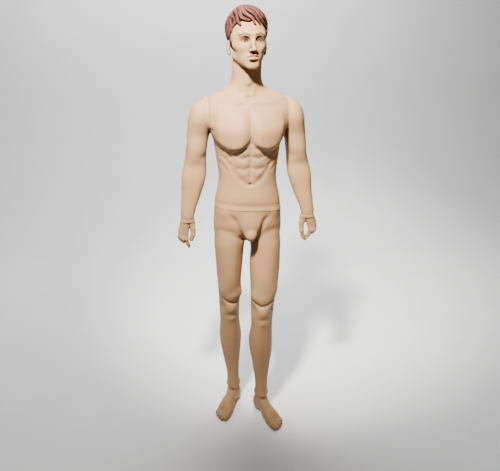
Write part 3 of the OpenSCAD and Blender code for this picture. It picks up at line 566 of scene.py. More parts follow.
def settle(field, verts, faces, rounds=2):
    """Evens the mesh out and puts each point on the true surface."""
    for i in range(rounds):
        total = np.zeros_like(verts)
        count = np.zeros(len(verts))
        for a, b in ((0, 1), (1, 2), (2, 3), (3, 0)):
            for k in range(3):
                total[:, k] += np.bincount(faces[:, a], verts[faces[:, b], k], len(verts))
                total[:, k] += np.bincount(faces[:, b], verts[faces[:, a], k], len(verts))
            count += np.bincount(faces[:, a], minlength=len(verts))
            count += np.bincount(faces[:, b], minlength=len(verts))
        verts = verts * 0.4 + total / np.maximum(count, 1)[:, None] * 0.6
        for again in range(2 if i == rounds - 1 else 1):
            f = in_lots(field, verts)
            g = slope(field, verts)
            move = -f[:, None] * g / np.maximum((g * g).sum(1), 0.2)[:, None]
            far = np.linalg.norm(move, axis=1)
            verts = verts + move * np.minimum(1, 3 / np.maximum(far, 1e-6))[:, None]
    return verts


def to_frame(p):
    return (np.asarray(p, float) + FIGURE_AT) / 1000


# ---- Hands ---------------------------------------------------------------------

# As left hands, from the wrist: thumb to -x, back of the hand to -y. Each digit is
# root, two joints and tip, then its radius at the root.
RIGHT_HAND = [
    [(-15, 3, -24), (-26, -3, -56), (-25, -5, -82), (-16, -4, -102), 11.4],
    [(8, -5, -68), (10, -9, -100), (5, -5, -121), (-2, 1, -137), 9.0],
    [(20, -6, -70), (25, -11, -98), (25, 3, -113), (21, 14, -105), 8.9],
    [(32, -5, -67), (37, -9, -92), (37, 5, -106), (32, 15, -98), 8.4],
    [(42, -2, -61), (46, -5, -83), (45, 6, -97), (41, 15, -90), 7.6],
]
LEFT_HAND = [
    [(-16, 2, -22), (-27, 0, -54), (-26, -2, -88), (-15, 0, -121), 10.6],
    [(10, -4, -54), (17, -7, -85), (11, -3, -109), (-7, 1, -128), 9.0],
    [(22, -6, -58), (27, -10, -85), (28, 5, -99), (23, 15, -91), 8.9],
    [(32, -4, -56), (37, -8, -83), (36, 5, -96), (31, 14, -87), 8.4],
    [(40, 0, -52), (43, -2, -76), (42, 8, -87), (38, 16, -80), 7.6],
]


def hand_field(side):
    digits = LEFT_HAND if side > 0 else RIGHT_HAND

    def field(p):
        q = p - WRIST * np.array([side, 1, 1])
        q[:, 0] *= side
        narrow = 1 - (0.16 if side < 0 else 0.10) * ease(-14, -50, q[:, 2])
        q[:, 0] /= narrow
        f = limb_body(p, ARM_ROWS, side, [])
        f = f + np.maximum(-q[:, 2] - 2, 0) * 0.26
        body = join(limb(q, (-11, 1, -14), (-14, 2, -34), 16, 14.5),
                    limb(q, (10, 0, -14), (18, 0, -40), 17, 15), 10)
        for digit in digits[1:]:
            root = np.array(digit[0], float)
            body = join(body, limb(q, (root[0] * 0.35, 1, -22), root, 16, digit[4] + 2.6), 8)
        body = carve(body, ellipsoid(q, (14, 27, -44), (18, 12, 22)), 9)
        soft = 2 + 12 * ease(-2, -26, q[:, 2])
        f = join(f, body, soft)
        thumb = join(limb(q, (-6, 4, -20), digits[0][0], 14, 14),
                     limb(q, digits[0][0], digits[0][1], 14, 10.5), 7)
        f = join(f, thumb, np.minimum(soft, 9))
        for n, digit in enumerate(digits):
            r = digit[4] * 1.2
            one = None
            for i in range(3):
                part = limb(q, digit[i], digit[i + 1], r - i * 0.8, r - (i + 1) * 0.8)
                if i:
                    knuckle = limb(q, digit[i], digit[i], r - i * 0.3, r - i * 0.3)
                    part = join(part, knuckle, 2)
                one = part if one is None else join(one, part, 2.5)
            f = join(f, one, 5.5 if n == 0 else 3.0)
        return f

    return field


# ---- Hair ----------------------------------------------------------------------

HAIR_MIDDLE = np.array([0.0, 9.0, 1751.0])
HAIR_SIZE = np.array([77.0, 97.0, 88.0])


def on_head(round_deg, up_deg, lift):
    """Place on the scalp: 0 round is the front, positive towards the left side."""
    a, e = math.radians(round_deg), math.radians(up_deg)
    d = np.array([math.sin(a) * math.cos(e), -math.cos(a) * math.cos(e), math.sin(e)])
    return HAIR_MIDDLE + d * (1 / math.sqrt(((d / HAIR_SIZE) ** 2).sum()) + lift)


def lock(path, thick, thin, wave, phase):
    """A lock through places on the scalp: (round, up, lift) from root to tip."""
    path = np.array(path, float)
    t = np.linspace(0, len(path) - 1, 9)
    line = []
    for i, u in enumerate(t):
        k = min(int(u), len(path) - 2)
        a = path[k] + (path[k + 1] - path[k]) * (u - k)
        w = wave * math.sin(phase + i * 1.25) * min(1, i / 2)
        line.append(on_head(a[0] + w * 0.7, a[1] + w * 0.5, a[2]))
    line = np.array(line)
    line[1:-1] = (line[:-2] + 2 * line[1:-1] + line[2:]) / 4
    r = thick + (thin - thick) * np.linspace(0, 1, 9) ** 1.6
    return line, r


rng = np.random.default_rng(11)
LOCKS = []
# swept over the top from a side parting, towards the left
for i in range(9):
    s = i / 8
    start = (-72 - 70 * s, 62 + 14 * s, 2)
    over = (-20 - 60 * s + 20 * rng.random(), 74 + 8 * s, 6)
    LOCKS.append(lock([start, over, (38 + 30 * s, 62 - 2 * s, 7), (62 + 22 * s, 40 - 4 * s, 5)],
                      12.5, 6.0, 5.0, rng.random() * 6))
# fringe along the forehead, lifted and turned to the left
for i in range(8):
    s = i / 7
    a = -58 + 112 * s
    LOCKS.append(lock([(a - 26, 74, 4), (a - 16, 54, 9 + 2 * math.sin(i * 2.1)), (a, 34, 9),
                       (a + 16, 20 - 5 * (i % 2), 4)], 11.5, 4.6, 5.5, i * 1.9))
# temple locks
for path, tip, wave, phase in (
    ([(-66, 52, 5), (-64, 34, 7), (-60, 16, 5), (-54, 2, 2)], 3.2, 5, 0.6),
    ([(-80, 46, 4), (-78, 28, 5), (-72, 8, 3), (-70, -6, 1)], 3.6, 4, 2.2),
    ([(60, 50, 6), (66, 32, 7), (64, 14, 5), (58, 2, 2)], 3.2, 5, 1.4),
    ([(76, 46, 5), (82, 28, 6), (76, 8, 3), (70, -7, 1)], 3.6, 4, 3.1),
):
    LOCKS.append(lock(path, 9.5, tip, wave, phase))
# sides, over the ears
for side in (-1, 1):
    for i in range(4):
        a = 88 + 17 * i
        LOCKS.append(lock([(side * (a - 8), 52, 3), (side * a, 32, 5), (side * (a + 5), 16 - 3 * i, 4),
                           (side * (a + 13), 3 - 7 * i, 1)], 11.0, 4.5, 5.0, i * 2.3 + side))
# back, down to the nape
for i in range(9):
    a = 128 + 13 * i
    LOCKS.append(lock([(a - 12, 66, 3), (a - 4, 38, 5), (a + 3, 12, 4), (a, -18, 1)],
                      12.0, 6.0, 5.0, i * 1.7))
for i in range(7):
    a = 138 + 14 * i
    LOCKS.append(lock([(a + 4, 20, 4), (a - 4, -6, 4), (a + 3, -28, 1),
                       (a, -42 + 3 * abs(i - 3), 0)], 10.5, 4.0, 5.0, i * 2.9))
# Lower edge of the hair: how far back, height
HAIRLINE = ([-100, -66, -42, -22, -8, 8, 26, 48, 80, 120],
            [1800, 1790, 1764, 1738, 1712, 1742, 1716, 1676, 1662, 1658])


def hair_field(p):
    q = in_head(p)
    f = ellipsoid(q, HAIR_MIDDLE, HAIR_SIZE + 3.0)
    f = join(f, np.maximum(skull(q) - 5.5, 1735 - q[:, 2]), 8)
    edge = np.interp(q[:, 1], *HAIRLINE)
    f = -join(-f, (q[:, 2] - edge) * 0.75, 5)
    near = f < 40
    g = f[near]
    qn = q[near]
    for line, r in LOCKS:
        low, high = line.min(0) - 22, line.max(0) + 22
        n = ((qn > low) & (qn < high)).all(1)
        if not n.any():
            continue
        part = np.full(n.sum(), 1e3)
        for i in range(len(line) - 1):
            part = np.minimum(part, limb(qn[n], line[i], line[i + 1], r[i], r[i + 1]))
        g[n] = join(g[n], part, 2.6)
    f[near] = g
    f = np.maximum(f, -(skull(q) + 4.0))
    return f


def lay_of_hair(p):
    """Across, along and number of the nearest lock, for the strands."""
    q = in_head(p)
    best = np.full(len(q), 1e9)
    lay = np.zeros((len(q), 3))
    for number, (line, r) in enumerate(LOCKS):
        along = 0.0
        for i in range(len(line) - 1):
            u = line[i + 1] - line[i]
            length = np.linalg.norm(u)
            t = np.clip((q - line[i]) @ u / length ** 2, 0, 1)
            away = q - line[i] - t[:, None] * u
            d = np.linalg.norm(away, axis=1) - (r[i] + (r[i + 1] - r[i]) * t)
            out = line[i] - HAIR_MIDDLE
            across = np.cross(u / length, out / np.linalg.norm(out))
            n = d < best
            best[n] = d[n]
            lay[n, 0] = (away @ across)[n]
            lay[n, 1] = (along + t * length)[n]
            lay[n, 2] = number
            along += length
    return lay


# ---- Cutting the body where it comes apart -------------------------------------


def openings(edges):
    """The cut's points, in order round each opening."""
    links = {}
    for e in edges:
        for v in e.verts:
            links.setdefault(v, []).append(e)
    left, found = set(edges), []
    while left:
        e = left.pop()
        first, v = e.verts
        ring = [first]
        while v is not first:
            ring.append(v)
            following = next((x for x in links[v] if x in left), None)
            if following is None:
                break
            left.remove(following)
            v = following.other_vert(v)
        found.append(ring)
    return [ring for ring in found if len(ring) > 8]


def bridge(bm, a, b):
    for i in range(len(a)):
        j = (i + 1) % len(a)
        bm.faces.new((a[i], a[j], b[j], b[i]))


def close(bm, ring, out, profile, hole=None, floor=None):
    """Closes an opening: rings set in and up by the profile, then a flat face,
    with a round well in it for a fitting."""
    out = np.array(out, float)
    p = np.array([v.co[:] for v in ring])
    t = np.roll(p, -1, 0) - np.roll(p, 1, 0)
    side = np.cross(t, out)
    side /= np.linalg.norm(side, axis=1)[:, None] + 1e-9
    if ((p.mean(0) - p) * side).sum() < 0:
        side = -side
    for again in range(6):
        side = (np.roll(side, 1, 0) + side * 2 + np.roll(side, -1, 0)) / 4
    last = ring
    for inset, rise in profile:
        q = p + side * inset + out * rise
        if floor is not None and rise < 0:
            q[:, 2] = np.maximum(q[:, 2], floor(q))
        made = [bm.verts.new(c) for c in q]
        bridge(bm, last, made)
        last = made
    bm.edges.ensure_lookup_table()
    rim = [bm.edges.get((last[i], last[(i + 1) % len(last)])) for i in range(len(last))]
    rim = [e for e in rim if e]
    if hole:
        middle, steps = np.array(hole[0], float), hole[1]
        a = np.cross(out, [0, 1, 0])
        a /= np.linalg.norm(a)
        b = np.cross(out, a)
        turn = np.linspace(0, 2 * math.pi, 56, endpoint=False)
        last = None
        for radius, depth in steps:
            c = middle + radius * (np.cos(turn)[:, None] * a + np.sin(turn)[:, None] * b) - out * depth
            made = [bm.verts.new(v) for v in c]
            if last is None:
                for i in range(len(made)):
                    rim.append(bm.edges.new((made[i], made[(i + 1) % len(made)])))
            else:
                bridge(bm, last, made)
            last = made
        bm.faces.new(last)
    bmesh.ops.triangle_fill(bm, edges=rim, use_beauty=True, normal=Vector(out))


class Cut:
    def __init__(self, point, out, profile, hole=None, only=None, floor=None):
        self.point, self.out = np.array(point, float), np.array(out, float)
        self.profile, self.hole, self.only, self.floor = profile, hole, only, floor


def cut_edges(bm, at, out):
    return [e for e in bm.edges if e.is_boundary and all(abs((v.co - at).dot(out)) < 0.01 for v in e.verts)]


RIM = 0.6      # the bevel along each seam


def cut_piece(name, verts, faces, keep, cuts, field=None):
    """One piece of the body, cut and closed; how deep its hollows lie is kept, for the painted shade in the
    finish.
    """
    faces = faces[keep(verts[faces].mean(1))]
    used, inverse = np.unique(faces, return_inverse=True)
    mesh = bpy.data.meshes.new(name)
    mesh.from_pydata(verts[used].tolist(), [], inverse.reshape(faces.shape).tolist())
    bm = bmesh.new()
    bm.from_mesh(mesh)
    for cut in cuts:
        geom = bm.verts[:] + bm.edges[:] + bm.faces[:]
        if cut.only:
            near = [f for f in bm.faces if cut.only(f.calc_center_median())]
            corners = list({v for f in near for v in f.verts})
            geom = corners + list({e for f in near for e in f.edges}) + near
        at = Vector(cut.point - cut.out * RIM)
        out = Vector(cut.out)
        bmesh.ops.bisect_plane(bm, geom=geom, dist=0.001, plane_co=at, plane_no=out)
        gone = [f for f in bm.faces if (f.calc_center_median() - at).dot(out) > 0
                and (cut.only is None or cut.only(f.calc_center_median()))]
        bmesh.ops.delete(bm, geom=gone, context="FACES")
        near = list({v for e in cut_edges(bm, at, out) for v in e.verts})
        bmesh.ops.remove_doubles(bm, verts=near, dist=0.25)
        for ring in openings(cut_edges(bm, at, out)):
            close(bm, ring, cut.out, cut.profile, cut.hole, cut.floor)
    loose = [v for v in bm.verts if not v.link_faces]
    bmesh.ops.delete(bm, geom=loose, context="VERTS")
    bmesh.ops.recalc_face_normals(bm, faces=bm.faces)
    bm.to_mesh(mesh)
    bm.free()
    return finish_mesh(name, mesh, field)


def finish_mesh(name, mesh, field=None):
    count = len(mesh.vertices)
    flat = np.empty(count * 3)
    mesh.vertices.foreach_get("co", flat)
    p = flat.reshape(-1, 3).copy()
    if field is not None:
        away = slope(field, p, 1.0)
        away /= np.linalg.norm(away, axis=1)[:, None] + 1e-9
        # how far a hollow shades each point, kept as painted shade for the finish: the surface nearer than
        # it should be
        hollow_shade = np.zeros(count)
        for reach in (5.0, 14.0):
            hollow_shade += np.clip(1 - in_lots(field, p + away * reach) / reach, -0.5, 1) * 0.5
        layer = mesh.attributes.new("hollow_shade", "FLOAT", "POINT")
        layer.data.foreach_set("value", hollow_shade.astype(np.float32))
    mesh.vertices.foreach_set("co", to_frame(p).ravel())
    mesh.polygons.foreach_set("use_smooth", np.ones(len(mesh.polygons), bool))
    mesh.update()
    mesh.set_sharp_from_angle(angle=math.radians(38))
    piece = bpy.data.objects.new(name, mesh)
    bpy.context.scene.collection.objects.link(piece)
    return piece, p


def unit(*v):
    v = np.array(v, float)
    return v / np.linalg.norm(v)


def fine_body(field, low, high, step, rounds=2):
    verts, faces = cast(field, low, high, step)
    return settle(field, verts, faces, rounds), faces


WAIST_UP = unit(math.sin(SEAM_TILT), 0, math.cos(SEAM_TILT))
WAIST_AT = np.array([0, 0, SEAM_Z])
GROIN_OUT = unit(-1, 0, 1)
flat_rim = [(0.2, 0.42), (RIM, RIM)]
wall_rim = flat_rim + [(4.0, RIM), (4.6, -5), (5.0, -20)]


def well(flange, tube, depth):
    """Steps of a round well for a flange and the tube behind it, as radius and depth."""
    return [(flange, 0), (flange, 4.4), (tube, 4.6), (tube, depth)]


# Torso, arms and neck
upper, upper_faces = fine_body(whole_upper, (-306, -156, 985), (306, 140, 1580), 3.1)
lower, lower_faces = fine_body(lower_figure, (-176, -236, -5), (170, 144, 1056), 3.0)


def shoulder_cut(side):
    """The torso's flat face at one shoulder, with the socket's well in it."""
    x = side * (SHOULDER_X - HALF_SEAM)
    return Cut((x, 0, 0), (side, 0, 0), flat_rim, ((x, *SHOULDER_STUD), well(SHOULDER_FLANGE, 14.6, 37)))


torso, _ = cut_piece(
    "torso", upper, upper_faces,
    lambda c: (np.abs(c[:, 0]) < 170) & (c[:, 2] > 1010) & ((np.abs(c[:, 0]) < 156) | (c[:, 2] > 1350)),
    [
        Cut(WAIST_AT + WAIST_UP * HALF_SEAM, -WAIST_UP, wall_rim),
        shoulder_cut(1),
        shoulder_cut(-1),
        Cut((0, 0, NECK_Z + RIM), (0, 0, 1), [(1.5, -2)]),
    ], whole_upper)
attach(torso, "upper_body")
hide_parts("torso_shell")
skins = [torso]

for side, word in ((-1, "right"), (1, "left")):
    forearm = unit(side * FOREARM[0], FOREARM[1], FOREARM[2])
    wrist = WRIST * np.array([side, 1, 1])
    shoulder = (side * (SHOULDER_X + HALF_SEAM), *SHOULDER_STUD)
    arm, _ = cut_piece(
        word + "_arm", upper, upper_faces,
        lambda c: c[:, 0] * side > 154,
        [
            Cut(shoulder, (-side, 0, 0), flat_rim, (shoulder, well(SHOULDER_FLANGE, 18.0, 6))),
            Cut(wrist + forearm * HALF_SEAM, -forearm, flat_rim,
                (wrist + forearm * HALF_SEAM, [(12.3, 0), (12.3, 42)])),
        ], whole_upper)
    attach(arm, word + "_arm")
    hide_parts(word + "_arm_shell")
    field = hand_field(side)
    palm, palm_faces = fine_body(field, wrist - (66, 46, 152), wrist + (66, 42, 24), 1.5)
    hand, _ = cut_piece(
        word + "_hand_skin", palm, palm_faces, lambda c: c[:, 2] > 0,
        [Cut(wrist - forearm * HALF_SEAM, forearm, flat_rim,
             (wrist - forearm * HALF_SEAM, [(7.2, 0), (7.2, 18)]))], field)
    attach(hand, word + "_hand")
    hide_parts(word + "_hand")
    skins += [arm, hand]

skull_verts, skull_faces = fine_body(head_and_neck, (-92, -142, 1540), (96, 110, 1846), 1.75)
head, head_points = cut_piece(
    "head", skull_verts, skull_faces, lambda c: c[:, 2] > 1545,
    [Cut((0, 0, NECK_Z - RIM), (0, 0, -1), [(1.5, -2)])], head_and_neck)
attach(head, "upper_body")
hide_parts("head_shell")
skins.append(head)

strands, strand_faces = fine_body(hair_field, (-110, -130, 1640), (112, 140, 1864), 1.7)
hair, hair_points = cut_piece("hair", strands, strand_faces, lambda c: c[:, 2] > 0, [], hair_field)
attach(hair, "upper_body")
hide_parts("moulded_hair")
layer = hair.data.attributes.new("lay", "FLOAT_VECTOR", "POINT")
layer.data.foreach_set("vector", lay_of_hair(hair_points).astype(np.float32).ravel())

# Pelvis with the right leg, and the left leg
SPARE = 14      # kept past the seam before the cut


def by_the_seam(c):
    return c[0] > 1 and c[2] > 868


pelvis, _ = cut_piece(
    "pelvis_and_right_leg", lower, lower_faces,
    lambda c: (c[:, 0] - c[:, 2] < GROIN_SEAM + SPARE) | (c[:, 0] < 1),
    [
        Cut(WAIST_AT - WAIST_UP * HALF_SEAM, WAIST_UP, wall_rim,
            floor=lambda q: q[:, 0] - GROIN_SEAM + 5),
        Cut(GROIN + GROIN_OUT * HALF_SEAM, -GROIN_OUT, flat_rim,
            (HIP_PIN + GROIN_OUT * HALF_SEAM, well(HIP_FLANGE, 17.6, 36)), only=by_the_seam),
    ], lower_figure)
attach(pelvis, "lower_body")
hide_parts("pelvis_leg_shell")

left_leg, _ = cut_piece(
    "left_leg", lower, lower_faces,
    lambda c: (c[:, 0] > 1) & (c[:, 0] - c[:, 2] > GROIN_SEAM - SPARE),
    [Cut(GROIN - GROIN_OUT * HALF_SEAM, GROIN_OUT, flat_rim,
         (HIP_PIN - GROIN_OUT * HALF_SEAM, well(HIP_FLANGE, 17.6, 6)), only=by_the_seam)], lower_figure)
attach(left_leg, "left_leg")
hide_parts("left_leg_shell")
skins += [pelvis, left_leg]

# ---- Paint on the face ---------------------------------------------------------


PARTING = 1653.2      # where the lips meet


def paint_face(piece, points):
    """Brows, lids, lips and ears, with painted shade in the eye sockets, nostrils and the parting of the
    lips, as a colour and how thickly it lies.
    """
    q = in_head(points)
    x, y, z = np.abs(q[:, 0]), q[:, 1], q[:, 2]
    facing = y < -55
    colour = np.tile(np.array([0.375, 0.212, 0.097, 0.0]), (len(q), 1))

    def lay(rgb, amount):
        amount = np.clip(amount, 0, 1)[:, None]
        colour[:, :3] = colour[:, :3] * (1 - amount) + np.array(rgb) * amount
        colour[:, 3] = np.maximum(colour[:, 3], amount[:, 0])

    lay((0.06, 0.02, 0.010), 0.95 * facing * stroke(x, z, [(13, 1735), (30, 1741), (50, 1735)], 5.6))
    # painted shade: the eye sockets darkened round each eye
    lay((0.055, 0.02, 0.010), 0.75 * facing * spot(x, z, 31, 1717, 20, 9.5))
    lay((0.06, 0.022, 0.011), 0.9 * facing * stroke(x, z, [(14, 1720), (30, 1727), (46, 1721)], 7.5))
    lash = stroke(x, z, [(18, 1712.6), (26, 1720), (35, 1720.6), (45, 1715)], 2.4)
    lay((0.03, 0.014, 0.008), 0.95 * facing * ease(1.4, 0.6, -np.log(lash + 1e-9)))
    iris = np.hypot(x - 31, z - 1714)
    lay((0.20, 0.15, 0.11), 0.6 * facing * spot(x, z, 31, 1713.6, 9, 4.2) * (y < -82))
    lay((0.035, 0.016, 0.009), 0.95 * facing * ease(6.6, 4.6, iris) * (y < -84))
    lay((0.09, 0.035, 0.02), 0.6 * facing * stroke(x, z, [(20, 1709), (30, 1706.2), (42, 1709.5)], 2.0))
    mouth = facing * (x < 24.5)
    upper_lip = np.interp(x, [0, 7, 15, 24], [1663.5, 1665, 1660.5, 1653.5]) > z
    lower_lip = np.interp(x, [0, 10, 18, 24], [1641.5, 1643, 1647, 1652]) < z
    lay((0.25, 0.065, 0.05), 0.95 * mouth * upper_lip * (z > PARTING))
    lay((0.44, 0.22, 0.175), 0.8 * mouth * lower_lip * (z <= PARTING))
    # painted shade: a dark line along the parting of the lips
    lay((0.06, 0.02, 0.015), 0.9 * facing * (x < 24) * np.exp(-((z - 1653.3) / 1.3) ** 2))
    # painted shade: the nostrils darkened
    lay((0.10, 0.04, 0.025), 0.5 * (y < -96) * spot(x, z, 5.8, 1671.5, 3.4, 2.6))
    lay((0.44, 0.22, 0.17), 0.25 * facing * spot(x, z, 44, 1690, 16, 16))
    lay((0.46, 0.26, 0.21), 0.35 * (x > 70) * (z > 1660) * (z < 1725))
    layer = piece.data.attributes.new("paint_thickness", "FLOAT", "POINT")
    layer.data.foreach_set("value", colour[:, 3].astype(np.float32))
    colour[:, 3] = 1.0
    layer = piece.data.color_attributes.new("paint", "FLOAT_COLOR", "POINT")
    layer.data.foreach_set("color", colour.astype(np.float32).ravel())


paint_face(head, head_points)

# ---- Finishes ------------------------------------------------------------------


def plug(tree, value, socket):
    """A link to the socket, or a constant set on it."""
    if isinstance(value, Wire):
        tree.links.new(value.socket, socket)
    else:
        socket.default_value = value


class Wire:
    """An output of a node, which adds and multiplies like a number."""

    def __init__(self, tree, socket):
        self.tree, self.socket = tree, socket

    def node(self, kind, settings=None, inputs=None, output=0):
        made = self.tree.nodes.new(kind)
        for name, value in (settings or {}).items():
            setattr(made, name, value)
        for key, value in (inputs or {}).items():
            plug(self.tree, value, made.inputs[key])
        return Wire(self.tree, made.outputs[output])

    def math(self, operation, *values):
        return self.node("ShaderNodeMath", {"operation": operation}, dict(enumerate(values)))

    def __add__(self, other):
        return self.math("ADD", self, other)

    def __radd__(self, other):
        return self.math("ADD", other, self)

    def __mul__(self, other):
        return self.math("MULTIPLY", self, other)

    def __rmul__(self, other):
        return self.math("MULTIPLY", other, self)

    def between(self, low, high):
        """0 up to low, 1 from high, and a soft step between them."""
        return self.node("ShaderNodeMapRange", {"interpolation_type": "SMOOTHSTEP"},
                         {"Value": self, "From Min": low, "From Max": high})

    def blend(self, a, b):
        """Colour a where this is 0 and colour b where it is 1."""
        a, b = (c if isinstance(c, Wire) else (*c, 1.0) for c in (a, b))
        return self.node("ShaderNodeMix", {"data_type": "RGBA"}, {0: self, 6: a, 7: b}, 2)

    def stretched(self, x, y, z):
        return self.node("ShaderNodeVectorMath", {"operation": "MULTIPLY"}, {0: self, 1: (x, y, z)})

    def noise(self, scale, detail=2.0, roughness=0.5):
        return self.node("ShaderNodeTexNoise", None,
                         {"Vector": self, "Scale": scale, "Detail": detail, "Roughness": roughness})


class Finish:
    """A material: a Principled shader, with the coordinates of the object."""

    def __init__(self, name):
        self.material = bpy.data.materials.new(name)
        self.material.use_nodes = True
        self.tree = self.material.node_tree
        self.shader = next(n for n in self.tree.nodes if n.type == "BSDF_PRINCIPLED")
        coordinates = self.tree.nodes.new("ShaderNodeTexCoord")
        self.place = Wire(self.tree, coordinates.outputs["Object"])

    def attribute(self, name, output="Fac"):
        return self.place.node("ShaderNodeAttribute", {"attribute_name": name}, None, output)

    def set(self, **values):
        for name, value in values.items():
            plug(self.tree, value, self.shader.inputs[name.replace("_", " ")])

    def bump(self, height, distance, strength=1.0):
        made = height.node("ShaderNodeBump", None,
                           {"Height": height, "Distance": distance, "Strength": strength})
        self.tree.links.new(made.socket, self.shader.inputs["Normal"])


def lacquer(name, painted=False):
    """Sprayed matt lacquer on glass fibre: faint clouding and orange peel, with painted shade darkening its
    hollows.
    """
    f = Finish(name)
    clouds = f.place.noise(5.0, 3.0)
    patch = f.place.noise(38.0, 2.0)
    hollow_shade = f.attribute("hollow_shade").between(0.06, 0.62)
    tone = clouds.between(0.3, 0.7).blend((0.36, 0.203, 0.092), (0.39, 0.222, 0.102))
    tone = (patch.between(0.55, 0.8) * 0.35).blend(tone, (0.31, 0.178, 0.085))
    # painted shade: hollows, creases and seam rims darkened in the colour, where shade falls
    tone = (hollow_shade * 0.9).blend(tone, (0.10, 0.036, 0.013))
    if painted:
        thick = f.attribute("paint_thickness")
        tone = thick.blend(tone, f.attribute("paint", "Color"))
    f.set(Base_Color=tone, Roughness=0.44 + 0.12 * clouds + 0.10 * hollow_shade, Metallic=0.0)
    f.set(Specular_IOR_Level=0.12 if painted else 0.16)
    f.bump(f.place.noise(420.0, 2.0) * 0.7 + f.place.noise(70.0, 1.0) * 0.5, 0.00022, 0.6)
    return f.material


def hair_finish():
    f = Finish("moulded_hair_finish")
    lay = f.attribute("lay", "Vector")
    strand = lay.stretched(1.0, 0.045, 3.7).noise(1.1, 4.0, 0.6)
    broad = lay.stretched(0.22, 0.02, 5.1).noise(1.0, 1.0)
    hollow_shade = f.attribute("hollow_shade").between(-0.05, 0.5)
    tone = strand.between(0.3, 0.72).blend((0.022, 0.006, 0.004), (0.135, 0.040, 0.025))
    tone = (broad.between(0.45, 0.7) * 0.6).blend(tone, (0.23, 0.085, 0.060))
    # painted shade: the grooves between the locks darkened in the colour
    tone = hollow_shade.blend(tone, (0.012, 0.004, 0.003))
    f.set(Base_Color=tone, Roughness=0.52 + 0.2 * strand, Metallic=0.0, Specular_IOR_Level=0.12)
    f.bump(strand, 0.0022, 0.85)
    return f.material


def steel(name, worn=0.25):
    f = Finish(name)
    brushed = f.place.stretched(1.0, 1.0, 24.0).noise(60.0, 3.0)
    smudge = f.place.noise(45.0, 2.0)
    tone = smudge.between(0.35, 0.75).blend((0.56, 0.55, 0.53), (0.44, 0.43, 0.415))
    f.set(Base_Color=tone, Metallic=1.0, Roughness=worn + 0.16 * brushed + 0.08 * smudge)
    f.bump(brushed, 0.0001, 0.4)
    return f.material


def plywood(name):
    f = Finish(name)
    grain = f.place.stretched(9.0, 110.0, 60.0).noise(1.0, 4.0, 0.6)
    height = f.place.node("ShaderNodeSeparateXYZ", None, {0: f.place}, 2)
    plies = height.math("SINE", height * 2100.0)
    tone = grain.between(0.3, 0.75).blend((0.56, 0.37, 0.20), (0.36, 0.20, 0.095))
    tone = (plies.between(0.2, 0.9) * 0.22).blend(tone, (0.28, 0.15, 0.07))
    f.set(Base_Color=tone, Metallic=0.0, Roughness=0.62 + 0.2 * grain)
    f.bump(grain, 0.0003, 0.5)
    return f.material


def resin(name):
    f = Finish(name)
    fibres = f.place.stretched(1.0, 6.0, 2.0).noise(90.0, 3.0)
    tone = fibres.between(0.35, 0.7).blend((0.56, 0.44, 0.28), (0.40, 0.29, 0.17))
    f.set(Base_Color=tone, Metallic=0.0, Roughness=0.40 + 0.25 * fibres)
    f.bump(fibres, 0.0003, 0.5)
    return f.material


skin_finish = lacquer("cream_lacquer")
for piece in skins:
    piece.data.materials.append(lacquer("painted_lacquer", True) if piece is head else skin_finish)
hair.data.materials.append(hair_finish())

finishes = {"board": plywood("plywood"), "block": plywood("hardwood_block"), "steel": steel("steel"),
            "screw": steel("zinc_plated_screws", 0.32), "resin": resin("cast_resin")}
replaced = {"torso_shell", "head_shell", "moulded_hair", "pelvis_leg_shell", "left_leg_shell",
            "right_arm_shell", "left_arm_shell", "right_hand", "left_hand"}
for nodes in frame["record"]["behaviour"]["bodies"].values():
    for node in nodes:
        if node in replaced:
            continue
        carried = bpy.data.objects[node]
        kind = ("board" if node.endswith("board") else "block" if node.endswith("block")
                else "screw" if node.endswith("screws")
                else "resin" if node.endswith("plug") or node.endswith("collar") else "steel")
        for place in carried.material_slots:
            place.material = finishes[kind]

# ---- Floor, light and camera ---------------------------------------------------

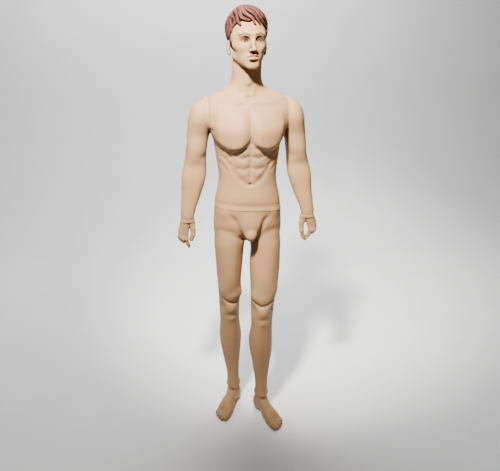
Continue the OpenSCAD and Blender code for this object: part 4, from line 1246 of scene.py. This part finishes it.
bpy.ops.mesh.primitive_plane_add(size=1)
floor = bpy.context.active_object
floor.name = "floor"
sheet = bmesh.new()
BEND_AT, BEND = 2.0, 1.2
path = [(-3.0, 0.0)]
path += [(BEND_AT + BEND * math.sin(a), BEND - BEND * math.cos(a)) for a in np.linspace(0, math.pi / 2, 14)]
path += [(BEND_AT + BEND, 5.0)]
rows = [[sheet.verts.new((x, y, z - 0.0006)) for x in np.linspace(-5, 5, 3)] for y, z in path]
for a, b in zip(rows[:-1], rows[1:]):
    for i in range(2):
        sheet.faces.new((a[i], a[i + 1], b[i + 1], b[i]))
sheet.to_mesh(floor.data)
sheet.free()
floor.data.polygons.foreach_set("use_smooth", np.ones(len(floor.data.polygons), bool))
pale = Finish("pale_floor")
cloud = pale.place.noise(3.0).between(0.3, 0.7)
pale.set(Base_Color=cloud.blend((0.86, 0.86, 0.86), (0.89, 0.89, 0.89)), Roughness=0.85)
floor.data.materials.append(pale.material)


def light(name, kind, at, aim, power, colour=(1, 1, 1), **settings):
    lamp = bpy.data.lights.new(name, kind)
    lamp.energy = power
    lamp.color = colour
    for setting, value in settings.items():
        setattr(lamp, setting, value)
    thing = bpy.data.objects.new(name, lamp)
    thing.location = at
    thing.rotation_euler = (Vector(aim) - Vector(at)).to_track_quat("-Z", "Y").to_euler()
    bpy.context.scene.collection.objects.link(thing)


light("spot", "SPOT", (-0.55, -1.25, 2.95), (0.0, 0.0, 1.50), 1300, (1.0, 0.97, 0.92),
      spot_size=math.radians(46), spot_blend=1.0, shadow_soft_size=0.14)
light("fill", "AREA", (1.7, -1.9, 2.0), (0.0, 0.0, 1.2), 2, (1.0, 0.95, 0.88), shape="DISK", size=1.4)
light("ceiling", "AREA", (0.0, 0.7, 3.3), (0.0, 0.5, 0.0), 9, shape="DISK", size=2.2)
light("backdrop", "AREA", (0.0, 1.5, 3.6), (0.0, 3.2, 0.6), 180, shape="DISK", size=2.4)

world = bpy.data.worlds.new("studio")
bpy.context.scene.world = world
world.use_nodes = True
world.node_tree.nodes["Background"].inputs["Color"].default_value = (1.0, 0.98, 0.96, 1)
world.node_tree.nodes["Background"].inputs["Strength"].default_value = 0.05

YAW = math.radians(8.5)
ahead = Vector((math.sin(YAW), math.cos(YAW), 0))
right = Vector((math.cos(YAW), -math.sin(YAW), 0))
lens = bpy.data.cameras.new("camera")
lens.lens = 40.75
lens.sensor_width = 36
camera = bpy.data.objects.new("camera", lens)
camera.location = Vector((FIGURE_AT[0] / 1000, FIGURE_AT[1] / 1000, 1.72)) - ahead * 2.40 + right * 0.012
camera.rotation_euler = (math.radians(90 - 19), 0, -YAW)
bpy.context.scene.collection.objects.link(camera)
bpy.context.scene.camera = camera
